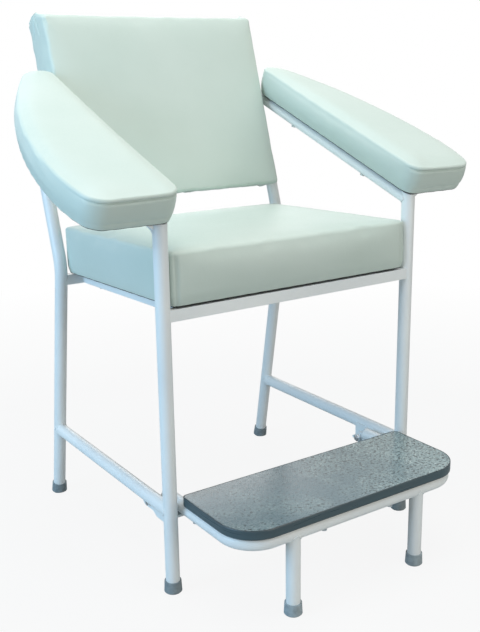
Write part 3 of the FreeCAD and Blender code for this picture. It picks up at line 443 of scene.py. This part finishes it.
# The first row that shares a word with a piece's name gives its finish, and the rest is coated
finishes = (
    (("screws", "hinge_nuts", "hinge_bolts"), zinc),
    # The footrest's ferrules take the lighter copy of the rubber, which is painted light
    (("footrest_ferrules",), litCopyRubber),
    (("ferrules", "footrest_buffers"), rubber),
    (("post_caps", "footrest_plugs", "hinge_bushes"), plain["moulded polythene"]),
    (("footrest_tread",), flooring),
    (("footrest_edging",), plain["extruded ABS edging"]),
    (("footrest_board",), plain["birch plywood"]),
    (("board",), plain["black-stained plywood"]),
)

edgeSoftness = {
    "seat_front_rail": 1.6, "seat_rear_rail": 1.6, "seat_side_rail": 1.6,
    "hinge_bracket": 0.5, "footrest_lug": 0.5, "arm_gusset": 0.6, "back_bar": 0.6,
    "footrest_edging": 1.8, "footrest_tread": 0.2, "ferrules": 1.0, "footrest_buffers": 0.5,
    "caps": 0.7, "plugs": 0.7, "hinge_nuts": 0.3, "hinge_bolts": 0.4, "screws": 0.4,
}

dressing = {
    "flatShare": 0.07,  # of a piece's surface in one direction, to count as a flat side
    "flatMatch": 0.99,
    "weld": 0.01,
    "bevelSegments": 2,
    "bevelAngle": 40,
    "splitAngle": 35,
}


def finishOf(name):
    for words, finish in finishes:
        if any(word in name for word in words):
            return finish
    return coat


def areasByDirection(piece, digits):
    areas = {}
    for face in piece.data.polygons:
        key = tuple(round(part, digits) for part in face.normal)
        areas[key] = areas.get(key, 0) + face.area
    return areas


def dressNode(name, piece, plan):
    piece.data.materials.clear()
    piece.data.materials.append(finishOf(name))
    areas = areasByDirection(piece, 2)
    enough = plan["flatShare"] * sum(areas.values())
    flats = [Vector(key) for key, area in areas.items() if area > enough]
    for face in piece.data.polygons:
        face.use_smooth = all(face.normal.dot(flat) < plan["flatMatch"] for flat in flats)
    weld = piece.modifiers.new("weld", "WELD")
    weld.merge_threshold = plan["weld"] * mm
    softness = [width for word, width in edgeSoftness.items() if word in name]
    if softness:
        bevel = piece.modifiers.new("eased edges", "BEVEL")
        bevel.width = softness[0] * mm
        bevel.segments = plan["bevelSegments"]
        bevel.limit_method = "ANGLE"
        bevel.angle_limit = math.radians(plan["bevelAngle"])
        piece.modifiers.new("weighted normals", "WEIGHTED_NORMAL")
    else:
        split = piece.modifiers.new("sharp ends", "EDGE_SPLIT")
        split.split_angle = math.radians(plan["splitAngle"])


for name, piece in nodes.items():
    dressNode(name, piece, dressing)
print("rigid pieces dressed")


# Places in the cushions' own planes: across the chair, up the cushion, and out of its face

def leaningAxes(board):
    areas = areasByDirection(nodes[board], 3)
    out = Vector(max(areas, key=areas.get)).normalized()
    if out.z < 0:
        out = -out
    return acrossAxis, out.cross(acrossAxis), out


def spanOf(name, axis):
    reach = [vertex.co.dot(axis) for vertex in nodes[name].data.vertices]
    return min(reach), max(reach)


# How finely the covers are meshed. The step along the outline is in each cover's own plan.

meshing = {
    "arcStep": 0.3,  # of an arc's radius
    "arcParts": 3,
    "closest": 0.2,
    "wallRows": 16,
    "lowestRow": 2.4,
    "edgeRows": 7,
    "creaseClear": 2.4,  # in widths of a crease
    "creaseSteps": (-1.6, -0.8, 0.0, 0.8, 1.6),
    "gridStep": 1.35,  # in steps of the outline
    "gridRow": 0.87,  # height of a row of even triangles
    "gridInward": 0.5,
    "gridAway": 0.6,
    "hemRise": 0.5,
    "hemShare": 0.3,
    "clothAndShadeBands": 4,  # the black cloth covers the underside and reaches just round the lower edge, where it is painted shade
}


def outlinePoints(arcs, step):
    points = []
    for order, (centre, radius, first, last) in enumerate(arcs):
        fine = min(step, radius * meshing["arcStep"])
        turns = max(meshing["arcParts"], math.ceil(math.radians(last - first) * radius / fine))
        for turn in range(turns + 1):
            angle = math.radians(first + (last - first) * turn / turns)
            normal = Vector((math.cos(angle), math.sin(angle)))
            points.append((centre + normal * radius, normal))
        nextCentre, nextRadius, nextFirst = arcs[(order + 1) % len(arcs)][:3]
        angle = math.radians(nextFirst)
        end = nextCentre + Vector((math.cos(angle), math.sin(angle))) * nextRadius
        start, normal = points[-1]
        parts = math.ceil((end - start).length / step)
        points.extend((start + (end - start) * part / parts, normal) for part in range(1, parts))
    closest = meshing["closest"] * mm
    kept = [points[0]]
    for place, normal in points[1:]:
        if (place - kept[-1][0]).length > closest and (place - kept[0][0]).length > closest:
            kept.append((place, normal))
    return kept


def crownGrid(rim, step):
    # Places for the crown's points: an even grid inside the rim, and how far in each one lies
    near = kdtree.KDTree(len(rim))
    for order, (place, normal) in enumerate(rim):
        near.insert(place.to_3d(), order)
    near.balance()
    lows, highs = (
        [pick(place[axis] for place, normal in rim) for axis in (0, 1)] for pick in (min, max))
    grid = []
    rows = math.ceil((highs[1] - lows[1]) / (step * meshing["gridRow"]))
    columns = math.ceil((highs[0] - lows[0]) / step)
    for row in range(1, rows):
        for column in range(columns):
            spot = Vector((
                lows[0] + step * (column + 0.5 * (row % 2) + 0.25),
                lows[1] + (highs[1] - lows[1]) * row / rows))
            order, away = near.find(spot.to_3d())[1:]
            place, normal = rim[order]
            inward = (place - spot).dot(normal)
            if inward > meshing["gridInward"] * step and away > meshing["gridAway"] * step:
                grid.append((spot, inward))
    return grid


def coverRows(plan, recess):
    # Inset and height of each ring, from the recess over the board up to the crown's rim
    thick, edge, tuck = (plan[key] * mm for key in ("thick", "edge", "tuck"))
    inset, depth = recess
    rows = [
        (inset, depth), (inset, 0.0), (tuck, 0.0),
        (tuck * meshing["hemShare"], meshing["hemRise"] * mm)]
    wallTop, lowest = thick - edge, meshing["lowestRow"] * mm
    wallRows, edgeRows = meshing["wallRows"], meshing["edgeRows"]
    heights = {lowest + (wallTop - lowest) * row / wallRows for row in range(wallRows + 1)}
    for crease in plan["creases"]:
        line, width = crease["at"] * thick, crease["width"] * mm
        clear = meshing["creaseClear"] * width
        heights = {height for height in heights if abs(height - line) > clear}
        heights |= {line + width * part for part in meshing["creaseSteps"]}
    rows.extend((0.0, height) for height in sorted(heights))
    for row in range(1, edgeRows + 1):
        angle = math.pi / 2 * row / edgeRows
        rows.append((edge * (1 - math.cos(angle)), wallTop + edge * math.sin(angle)))
    return rows


def stuffedPiece(name, plan, arcs, axes, base, recess):
    # Rings climb from the recess over the board, round the wall and edge, and a grid makes the crown
    thick, edge, step = (plan[key] * mm for key in ("thick", "edge", "step"))
    outline = outlinePoints(arcs, step)
    rows = coverRows(plan, recess)
    runs = [0.0]
    for order, (place, normal) in enumerate(outline):
        runs.append(runs[-1] + (outline[(order + 1) % len(outline)][0] - place).length)
    inner, outer = (pick(place.x for place, normal in outline) for pick in (min, max))

    mesh = bmesh.new()

    def addPoint(place, height):
        lean = plan["lean"] * mm * (outer - place.x) / (outer - inner) * height / thick
        return mesh.verts.new(
            base + axes[0] * place.x + axes[1] * place.y + axes[2] * (height + lean))

    rings = []
    for inset, height in rows:
        ring = []
        for order, (place, normal) in enumerate(outline):
            slack = plan["slack"](plan, normal, height, runs[order] / runs[-1])
            ring.append(addPoint(place - normal * (inset + slack), height))
        rings.append(ring)
    for band, (low, high) in enumerate(zip(rings, rings[1:])):
        for order in range(len(low)):
            after = (order + 1) % len(low)
            face = mesh.faces.new((low[order], low[after], high[after], high[order]))
            # The lowest bands take the black cloth: real underneath, painted shade where it shows round
            # the lower edge
            face.material_index = int(band < meshing["clothAndShadeBands"])
    floor = mesh.verts.new(sum((vertex.co for vertex in rings[0]), Vector()) / len(rings[0]))
    for order in range(len(rings[0])):
        face = mesh.faces.new((rings[0][(order + 1) % len(outline)], rings[0][order], floor))
        face.material_index = 1

    rim = [(place - normal * edge, normal) for place, normal in outline]
    middle = [
        (max(place[axis] for place, normal in rim) + min(place[axis] for place, normal in rim)) / 2
        for axis in (0, 1)]
    half = [max(abs(place[axis] - middle[axis]) for place, normal in rim) for axis in (0, 1)]
    grid = crownGrid(rim, step * meshing["gridStep"])
    places = [place for place, normal in rim] + [spot for spot, inward in grid]
    tolerance = 1e-7
    cells, sources = delaunay_2d_cdt(places, [], [list(range(len(rim)))], 1, tolerance)[2:4]
    points = list(rings[-1])
    for spot, inward in grid:
        if plan["crownReach"]:
            rise = 1 - (1 - min(1, inward / (plan["crownReach"] * mm))) ** plan["crownPower"]
        else:
            u, v = (min(1, abs(spot[axis] - middle[axis]) / half[axis]) for axis in (0, 1))
            rise = (1 - u ** plan["crownPower"]) * (1 - v ** plan["crownPower"])
        waver = noise.noise(spot.to_3d() * perMetre(plan["waverSize"])) * plan["waver"] * mm
        ease = min(1, inward / (plan["waverEase"] * mm))
        points.append(addPoint(spot, thick + plan["crown"] * mm * rise + waver * ease))
    for cell in cells:
        mesh.faces.new([points[sources[corner][0]] for corner in cell])
    bmesh.ops.recalc_face_normals(mesh, faces=mesh.faces)
    piece = smoothPiece(name, mesh, [mint, plain["bottoming cloth and painted shade"]])
    swell(piece, plan, axes, base)
    creaseCover(piece, plan, axes, outline, rows)
    return piece


def creaseCover(piece, plan, axes, outline, rows):
    # Creases and seams come after the cloth run, which would flatten them
    thick = plan["thick"] * mm
    ends = [pick(place.x for place, normal in outline) for pick in (min, max)]
    for level, (inset, height) in enumerate(rows):
        for order, (place, normal) in enumerate(outline):
            inward = 0
            if "seams" in plan:
                inward += plan["seams"](plan, place, normal, height, ends)
            for crease in plan["creases"]:
                off = (height - crease["at"] * thick) / (crease["width"] * mm)
                wander = 1 - crease["wander"] * math.sin(place.x * plan["wanderTurns"]) ** 2
                share = max(0.0, -normal.y) ** 2 * wander
                inward += crease["depth"] * mm * math.exp(-off * off) * share
            vertex = piece.data.vertices[level * len(outline) + order]
            vertex.co -= (axes[0] * normal.x + axes[1] * normal.y) * inward


def smoothPiece(name, mesh, materials):
    data = bpy.data.meshes.new(name)
    mesh.to_mesh(data)
    mesh.free()
    for material in materials:
        data.materials.append(material)
    for face in data.polygons:
        face.use_smooth = True
    piece = bpy.data.objects.new(name, data)
    bpy.context.scene.collection.objects.link(piece)
    return piece


clothRun = {"frames": 20, "quality": 5, "heldHeight": 2}


def swell(piece, plan, axes, base):
    # The foam pushes its cover out: a short cloth run, its underside held and its moves capped
    scene = bpy.context.scene
    held = piece.vertex_groups.new(name="stapled edge")
    heldBelow = base.dot(axes[2]) + clothRun["heldHeight"] * mm
    points = [vertex.co.copy() for vertex in piece.data.vertices]
    underside = [order for order, place in enumerate(points) if place.dot(axes[2]) < heldBelow]
    held.add(underside, 1, "REPLACE")
    cloth = piece.modifiers.new("swell", "CLOTH")
    cover = cloth.settings
    cover.quality = clothRun["quality"]
    cover.mass = plan["coverMass"]
    cover.use_pressure = True
    cover.uniform_pressure_force = plan["pressure"]
    cover.vertex_group_mass = held.name
    cover.effector_weights.gravity = 0
    cover.bending_stiffness = plan["bending"]
    cloth.collision_settings.use_collision = False
    cloth.point_cache.frame_start = 1
    cloth.point_cache.frame_end = clothRun["frames"]
    for moment in range(1, clothRun["frames"] + 1):
        scene.frame_set(moment)
    swollen = piece.evaluated_get(bpy.context.evaluated_depsgraph_get()).data
    moves = [vertex.co - place for vertex, place in zip(swollen.vertices, points)]
    piece.modifiers.remove(cloth)
    piece.vertex_groups.remove(held)
    scene.frame_set(1)
    cap = plan["swell"] * mm
    for vertex, place, move in zip(piece.data.vertices, points, moves):
        far = move.length
        if far > 0:
            move *= cap * (1 - math.exp(-far / cap)) / far
        vertex.co = place + move


def coverNode(name, node, board, plan, arcs, axes):
    # The board's size gives the recess that the cover leaves for it
    across, out = spanOf(node, axes[0]), spanOf(node, axes[2])
    boardAcross, boardOut = spanOf(board, axes[0]), spanOf(board, axes[2])
    gap = plan["boardGap"] * mm
    recess = (across[1] - boardAcross[1] - gap, boardOut[1] - out[0] + gap)
    piece = stuffedPiece(name, plan, arcs, axes, axes[2] * out[0], recess)
    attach(piece, "chair")
    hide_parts(node)
    return piece


def puckers(plan, height, share):
    # Small gathers where the cover is stapled down, which fade out up the wall
    fade = math.exp(-height / (plan["puckerFade"] * mm))
    return fade * plan["puckerDepth"] * mm * math.sin(share * math.tau * plan["puckers"])


def ripple(waves, height, share):
    place = Vector((share * waves["along"], height * waves["up"], waves["shift"]))
    return noise.noise(place) * waves["depth"] * mm


# Seat cushion: a deep slab, flat in front, with a firm front edge and a low crown

def seatSlack(plan, normal, height, share):
    # How far the cover lies inside its outline, which is less than nothing where it bulges
    level = height / (plan["thick"] * mm)
    tuckedIn = plan["tuckIn"] * mm * max(0, 1 - level / plan["tuckLevel"]) ** 2
    tuckedIn -= plan["fullness"] * mm * min(1, level / plan["tuckLevel"])
    bulge = -plan["bulge"] * mm * math.sin(math.pi * min(1, level)) * max(0, -normal.y)
    waver = ripple(plan["ripple"], height, share) * min(1, level / plan["settled"])
    return tuckedIn + bulge + puckers(plan, height, share) + waver


def seatSeams(plan, place, normal, height, ends):
    # Sewn seams down the two front corners
    if -normal.y < plan["seamFacing"]:
        return 0
    off = min(abs(place.x - end) for end in ends) - plan["seamInset"] * mm
    fade = min(1, (plan["thick"] * mm - height) / (plan["seamFade"] * mm))
    return plan["seamDepth"] * mm * math.exp(-(off / (plan["seamWidth"] * mm)) ** 2) * fade


seatPlan = {
    "thick": 92.5, "edge": 6.5, "tuck": 4, "corner": 8.5, "step": 7, "lean": 0, "boardGap": 0.3,
    "crown": 5, "crownReach": 0, "crownPower": 2.6, "waver": 0.9, "waverSize": 95, "waverEase": 25,
    "tuckIn": 2.5, "tuckLevel": 0.2, "fullness": 2.2, "bulge": 1.5,
    "puckers": 52, "puckerDepth": 0.5, "puckerFade": 7,
    "ripple": {"along": 60, "up": 22, "shift": 3.0, "depth": 0.5}, "settled": 0.25,
    "seamInset": 5.5, "seamWidth": 1.5, "seamDepth": 4.0, "seamFade": 12, "seamFacing": 0.5,
    "creases": (),
    "pressure": 0.35, "coverMass": 0.02, "bending": 2, "swell": 6, "fill": 0.85,
    "slack": seatSlack, "seams": seatSeams,
}


# Back cushion: thinner, its cover pulled tight over the front and bunched at the rear corners,
# so that it is widest behind and its underside slopes in

def backSlack(plan, normal, height, share):
    level = height / (plan["thick"] * mm)
    below = max(0, -normal.y)
    flare = -plan["flare"] * mm * (1 - min(1, level)) * (1 - below) * abs(normal.x)
    under = plan["underSlope"] * mm * (1 - min(1, level)) * below
    waver = ripple(plan["ripple"], height, share) + ripple(plan["scallops"], height, share) * below
    full = plan["fullness"] * mm * min(1, level / plan["settled"]) * max(0, 1 + normal.y)
    return flare + under + puckers(plan, height, share) + waver - full


backPlan = {
    "thick": 69, "edge": 7, "tuck": 4, "corner": 8, "step": 7, "lean": 0, "boardGap": 0.3,
    "crown": 4.5, "crownReach": 0, "crownPower": 2.6, "waver": 0.9, "waverSize": 95, "waverEase": 25,
    "flare": 3.5, "underSlope": 9.0, "fullness": 1.5,
    "puckers": 44, "puckerDepth": 0.8, "puckerFade": 10,
    "ripple": {"along": 55, "up": 20, "shift": 9.0, "depth": 0.6}, "settled": 0.25,
    "scallops": {"along": 150, "up": 9, "shift": 4.0, "depth": 2.2},
    "creases": ({"at": 0.3, "width": 4, "depth": 1.2, "wander": 0.5},), "wanderTurns": 95,
    "earRise": 17, "earReach": 24, "earDrop": 44, "earPlaces": (0.95, 0.5), "earFlare": 3,
    "earStart": 0.55, "earInward": 1.2, "earDown": 1.6, "earCuts": 2,
    "earFolds": ((34, 14), (5, 2), (30, 44)), "foldWidth": 1.9, "foldDepth": 5,
    "foldReach": 8, "foldFade": 0.6,
    "pressure": 0.25, "coverMass": 0.02, "bending": 2, "swell": 5, "fill": 0.8,
    "slack": backSlack,
}


def makeSlab(node, board, plan):
    axes = leaningAxes(board)
    arcs = boxArcs(spanOf(node, axes[0]), spanOf(node, axes[1]), plan["corner"] * mm)
    return coverNode(node.replace("_", "-") + "-cover", node, board, plan, arcs, axes)


def boxArcs(across, along, corner):
    corners = ((1, 1, 0), (-1, 1, 90), (-1, -1, 180), (1, -1, 270))
    middle = Vector(((across[0] + across[1]) / 2, (along[0] + along[1]) / 2))
    halfAcross, halfAlong = (across[1] - across[0]) / 2 - corner, (along[1] - along[0]) / 2 - corner
    return [
        (middle + Vector((halfAcross * x, halfAlong * y)), corner, first, first + 90)
        for x, y, first in corners]


def bunchCorners(piece, node, board, plan):
    # The spare vinyl at the top rear corners is folded into ears that stand up from the side,
    # with folds that run down from each ear's peak
    axes = leaningAxes(board)
    across, along, out = (spanOf(node, axis) for axis in axes)
    rise, reach, drop = (plan[key] * mm for key in ("earRise", "earReach", "earDrop"))
    foot, peak = (share * plan["thick"] * mm for share in plan["earPlaces"])

    def earPlace(spot, side, corner):
        u, v, height = (spot.dot(axis) for axis in axes)
        return (corner - u) * side, along[1] - v, height - out[0]

    mesh = bmesh.new()
    mesh.from_mesh(piece.data)
    for side, corner in zip((-1, 1), across):
        near = []
        for edge in mesh.edges:
            inward, below, height = earPlace((edge.verts[0].co + edge.verts[1].co) / 2, side, corner)
            if inward < reach and below < drop:
                near.append(edge)
        bmesh.ops.subdivide_edges(mesh, edges=near, cuts=plan["earCuts"], use_grid_fill=True)
    for vertex in mesh.verts:
        for side, corner in zip((-1, 1), across):
            inward, below, height = earPlace(vertex.co, side, corner)
            if inward > reach or below > drop or height > foot:
                continue
            climb = plan["earStart"] + (1 - plan["earStart"]) * height / peak
            share = min((foot - height) / (foot - peak), climb)
            share *= (1 - max(0, inward) / reach) ** plan["earInward"]
            share *= min(1, 1 - below / drop) ** plan["earDown"]
            fold = 0
            for endBelow, endHeight in plan["earFolds"]:
                way = Vector((endBelow * mm, endHeight * mm - peak))
                spot = Vector((below, height - peak))
                run = max(0, min(1, spot.dot(way) / way.length_squared))
                away = (spot - way * run).length / (plan["foldWidth"] * mm)
                fold = max(fold, math.exp(-away * away) * (1 - run * plan["foldFade"]))
            fold *= max(0, 1 - max(0, inward) / (plan["foldReach"] * mm))
            vertex.co += axes[1] * rise * share
            vertex.co += axes[0] * side * (plan["earFlare"] * share - plan["foldDepth"] * fold) * mm
    mesh.to_mesh(piece.data)
    mesh.free()
    for face in piece.data.polygons:
        face.use_smooth = True


makeSlab("seat_cushion", "seat_board", seatPlan)
backCover = makeSlab("back_cushion", "back_board", backPlan)
bunchCorners(backCover, "back_cushion", "back_board", backPlan)
print("seat and back covered")


# Arm pads: straight inside, a long sweep outside, and a soft crease under the top edge

def padSlack(plan, normal, height, share):
    level = height / (plan["thick"] * mm)
    outside = max(0.0, normal.x)
    tuckIn = plan["tuckIn"] + (plan["tuckInOutside"] - plan["tuckIn"]) * outside
    bulge = plan["bulge"] + (plan["bulgeOutside"] - plan["bulge"]) * outside
    tuckedIn = tuckIn * mm * max(0, 1 - level / plan["tuckLevel"]) ** 2
    bulged = bulge * mm * math.sin(math.pi * min(1, level))
    return tuckedIn - bulged + puckers(plan, height, share)


padPlan = {
    "thick": 55, "edge": 4.5, "tuck": 4, "step": 7, "lean": 3.2, "boardGap": 0.3,
    "crown": 4, "crownReach": 34, "crownPower": 2.4, "waver": 0.7, "waverSize": 95, "waverEase": 25,
    "sweep": 760, "shoulder": 330, "widestPlace": 116,
    "outerCorner": 40, "innerCorner": 27, "tailCorner": 46, "heelCorner": 22,
    "tuckIn": 5.0, "tuckInOutside": 3.0, "tuckLevel": 0.6, "bulge": 1.0, "bulgeOutside": 3.5,
    "puckers": 40, "puckerDepth": 0.5, "puckerFade": 8,
    "creases": (
        {"at": 0.86, "width": 1.2, "depth": 4.4, "wander": 0.3},
        {"at": 0.22, "width": 2.2, "depth": 1.8, "wander": 0.7}),
    "wanderTurns": 95,
    "pressure": 0.4, "coverMass": 0.02, "bending": 2, "swell": 3, "fill": 0.85,
    "slack": padSlack,
}


def padArcs(across, along, plan):
    inner, widest = across
    front, rear = along
    sweep, shoulder, outer, inside, tail, heel, widestIn = (
        plan[key] * mm for key in (
            "sweep", "shoulder", "outerCorner", "innerCorner", "tailCorner", "heelCorner",
            "widestPlace"))
    widestPlace = front + widestIn
    sweepCentre = Vector((widest - sweep, widestPlace))
    shoulderCentre = Vector((widest - shoulder, widestPlace))
    tailY = rear - tail
    tailX = sweepCentre.x + math.sqrt((sweep - tail) ** 2 - (tailY - widestPlace) ** 2)
    outerY = front + outer
    outerX = shoulderCentre.x + math.sqrt((shoulder - outer) ** 2 - (widestPlace - outerY) ** 2)
    tailTurn = math.degrees(math.atan2(tailY - sweepCentre.y, tailX - sweepCentre.x))
    outerTurn = math.degrees(math.atan2(outerY - shoulderCentre.y, outerX - shoulderCentre.x))
    return [
        (Vector((inner + inside, front + inside)), inside, 180, 270),
        (Vector((outerX, outerY)), outer, -90, outerTurn),
        (shoulderCentre, shoulder, outerTurn, 0),
        (sweepCentre, sweep, 0, tailTurn),
        (Vector((tailX, tailY)), tail, tailTurn, 90),
        (Vector((inner + heel, rear - heel)), heel, 90, 180),
    ]


def makePad(side, plan):
    node, board = "arm_pad_" + side, "arm_board_" + side
    acrossWay, along, out = leaningAxes(board)
    axes = (acrossWay * sideSigns[side], along, out)
    arcs = padArcs(spanOf(node, axes[0]), spanOf(node, along), plan)
    return coverNode("arm-pad-cover-" + side, node, board, plan, arcs, axes)


for side in sideSigns:
    makePad(side, padPlan)
print("arm pads covered")


# Weld beads round the tubes' coped ends

beadPlan = {
    "tube": 12.5, "slack": 0.4, "reach": 30, "degrees": 8,
    "bead": 1.7, "sides": 7, "lump": 0.12, "lumpStep": 2.1,
}

tubeWays = {
    "along": Vector((0, 1, 0)),
    "slope": leaningAxes("arm_board_left")[1],
    "upright": Vector((0, 0, 1)),
}

# Each tube with the body it rides on, its axis, and which of its ends are welded
weldedTubes = (
    ("lower_side_rail_left", "chair", "along", (0, 1)),
    ("lower_side_rail_right", "chair", "along", (0, 1)),
    ("arm_rail_left", "chair", "slope", (0, 1)),
    ("arm_rail_right", "chair", "slope", (0, 1)),
    ("footrest_leg_left", "footrest", "upright", (1,)),
    ("footrest_leg_right", "footrest", "upright", (1,)),
)


def weldPath(name, axis, end, plan):
    # The end of the tube's skin in each direction round it
    across = acrossAxis
    up = axis.cross(across).normalized()
    spans = [spanOf(name, way) for way in (across, up, axis)]
    centre = across * sum(spans[0]) / 2 + up * sum(spans[1]) / 2
    low, high = spans[2]
    skin = (plan["tube"] - plan["slack"]) * mm
    path = {}
    for vertex in nodes[name].data.vertices:
        off = vertex.co - centre
        u, v, along = off.dot(across), off.dot(up), vertex.co.dot(axis)
        fromEnd = along - low if end == 0 else high - along
        if math.hypot(u, v) < skin or fromEnd > plan["reach"] * mm:
            continue
        key = round(math.degrees(math.atan2(v, u)) / plan["degrees"])
        if key not in path or fromEnd < path[key][0]:
            path[key] = (fromEnd, vertex.co.copy())
    return [path[key][1] for key in sorted(path)]


def makeBead(name, body, axis, end, plan):
    path = weldPath(name, axis, end, plan)
    mesh = bmesh.new()
    rings = []
    middle = sum(path, Vector()) / len(path)
    for order, place in enumerate(path):
        ahead = (path[(order + 1) % len(path)] - path[order - 1]).normalized()
        outward = (place - middle) - ahead * (place - middle).dot(ahead)
        outward.normalize()
        other = ahead.cross(outward)
        radius = plan["bead"] * mm * (1 + plan["lump"] * math.sin(order * plan["lumpStep"]))
        ring = []
        for turn in range(plan["sides"]):
            angle = math.tau * turn / plan["sides"]
            spot = place + (outward * math.cos(angle) + other * math.sin(angle)) * radius
            ring.append(mesh.verts.new(spot))
        rings.append(ring)
    for order, ring in enumerate(rings):
        after = rings[(order + 1) % len(rings)]
        for turn in range(plan["sides"]):
            beside = (turn + 1) % plan["sides"]
            mesh.faces.new((ring[turn], ring[beside], after[beside], after[turn]))
    bmesh.ops.recalc_face_normals(mesh, faces=mesh.faces)
    piece = smoothPiece("weld-%s-%d" % (name.replace("_", "-"), end), mesh, [coat])
    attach(piece, body)


for name, body, way, ends in weldedTubes:
    for end in ends:
        makeBead(name, body, tubeWays[way], end, beadPlan)
print("welds laid")


# Floor, world and lamps: a pale studio with cool light from the sitter's right

studio = {
    "floor": "#b2b5b5",
    "floorWarm": "#abb0b0",
    "floorSize": 30000,
    "fibreSize": 300,
    "fibreRange": (0.3, 0.7),
    "clearing": (900, 2200),
    "floorShow": (0.9, 1.0),
    "white": "#ffffff",
    "ambient": "#eceeee",
    "ambientStrength": 0.35,
    "lampAim": (0, 0, 500),
}

lamps = {
    # Broad light overhead, which whitens the seat and the pads' tops
    "top": {"place": (-200, -180, 2900), "size": 2200, "watts": 49, "colour": "#ffffff"},
    # Cool window on the sitter's right
    "window": {"place": (-2700, 100, 1200), "size": 1800, "watts": 49, "colour": "#b4deff"},
    # Weak front fill
    "front": {"place": (700, -3000, 900), "size": 1800, "watts": 23, "colour": "#fff8f0"},
    # Weak light from behind, for the other views
    "rear": {"place": (1200, 2700, 1700), "size": 1800, "watts": 18, "colour": "#ffffff"},
}


def makeFloor(plan):
    half = plan["floorSize"] * mm / 2
    data = bpy.data.meshes.new("floor")
    corners = [(-half, -half, 0), (half, -half, 0), (half, half, 0), (-half, half, 0)]
    data.from_pydata(corners, [], [(0, 1, 2, 3)])
    floor = bpy.data.objects.new("floor", data)
    bpy.context.scene.collection.objects.link(floor)
    # Paper sweep, pale and matt: the lamps draw the chair's shadow on it, and it is lifted
    # towards white away from the chair where the camera sees it
    material, place = startMaterial("paper sweep")
    fibre = addNode(
        material, "TexNoise", {"Scale": perMetre(plan["fibreSize"]), "Detail": 2}, {"Vector": place})
    share = addNode(material, "MapRange", fromTo(plan["fibreRange"]), {"Value": fibre.outputs["Fac"]})
    colour = addNode(
        material, "Mix", shades(plan["floor"], plan["floorWarm"]), {0: share.outputs["Result"]})
    paper = addNode(material, "BsdfDiffuse", {}, {"Color": colour.outputs[2]})
    white = addNode(material, "Emission", {"Color": linearColour(plan["white"]), "Strength": 1.0})
    away = addNode(material, "VectorMath", {"operation": "LENGTH"}, {0: place})
    lift = addNode(
        material, "MapRange", fromTo([reach * mm for reach in plan["clearing"]], plan["floorShow"]),
        {"Value": away.outputs["Value"]})
    rays = addNode(material, "LightPath")
    lifted = addNode(
        material, "Math", {"operation": "MULTIPLY"},
        {0: rays.outputs["Is Camera Ray"], 1: lift.outputs["Result"]})
    mixed = addNode(
        material, "MixShader", {},
        {0: lifted.outputs[0], 1: paper.outputs[0], 2: white.outputs[0]})
    data.materials.append(endMaterial(material, mixed))


def makeWorld(plan):
    world = bpy.data.worlds.new("studio")
    world.use_nodes = True
    world.node_tree.nodes.clear()
    rays = addNode(world, "LightPath")
    seen = addNode(
        world, "Math", {"operation": "MAXIMUM"},
        {0: rays.outputs["Is Camera Ray"], 1: rays.outputs["Is Glossy Ray"]})
    anyRay = addNode(
        world, "Math", {"operation": "MAXIMUM"},
        {0: seen.outputs[0], 1: rays.outputs["Is Transmission Ray"]})
    soft = addNode(
        world, "Background",
        {"Color": linearColour(plan["ambient"]), "Strength": plan["ambientStrength"]})
    white = addNode(world, "Background", {"Color": linearColour(plan["white"]), "Strength": 1.0})
    mixed = addNode(
        world, "MixShader", {}, {0: anyRay.outputs[0], 1: soft.outputs[0], 2: white.outputs[0]})
    addNode(world, "OutputWorld", links={"Surface": mixed.outputs[0]})
    bpy.context.scene.world = world


def makeLamp(name, plan, aim):
    data = bpy.data.lights.new(name, "AREA")
    data.shape = "DISK"
    data.size = plan["size"] * mm
    data.energy = plan["watts"]
    data.color = linearColour(plan["colour"])[:3]
    lamp = bpy.data.objects.new(name, data)
    place = Vector(plan["place"]) * mm
    lamp.location = place
    lamp.rotation_euler = (place - Vector(aim) * mm).to_track_quat("Z", "Y").to_euler()
    bpy.context.scene.collection.objects.link(lamp)


makeFloor(studio)
makeWorld(studio)
for name, plan in lamps.items():
    makeLamp(name, plan, studio["lampAim"])
bpy.context.scene.view_settings.view_transform = "Standard"
print("studio lit")
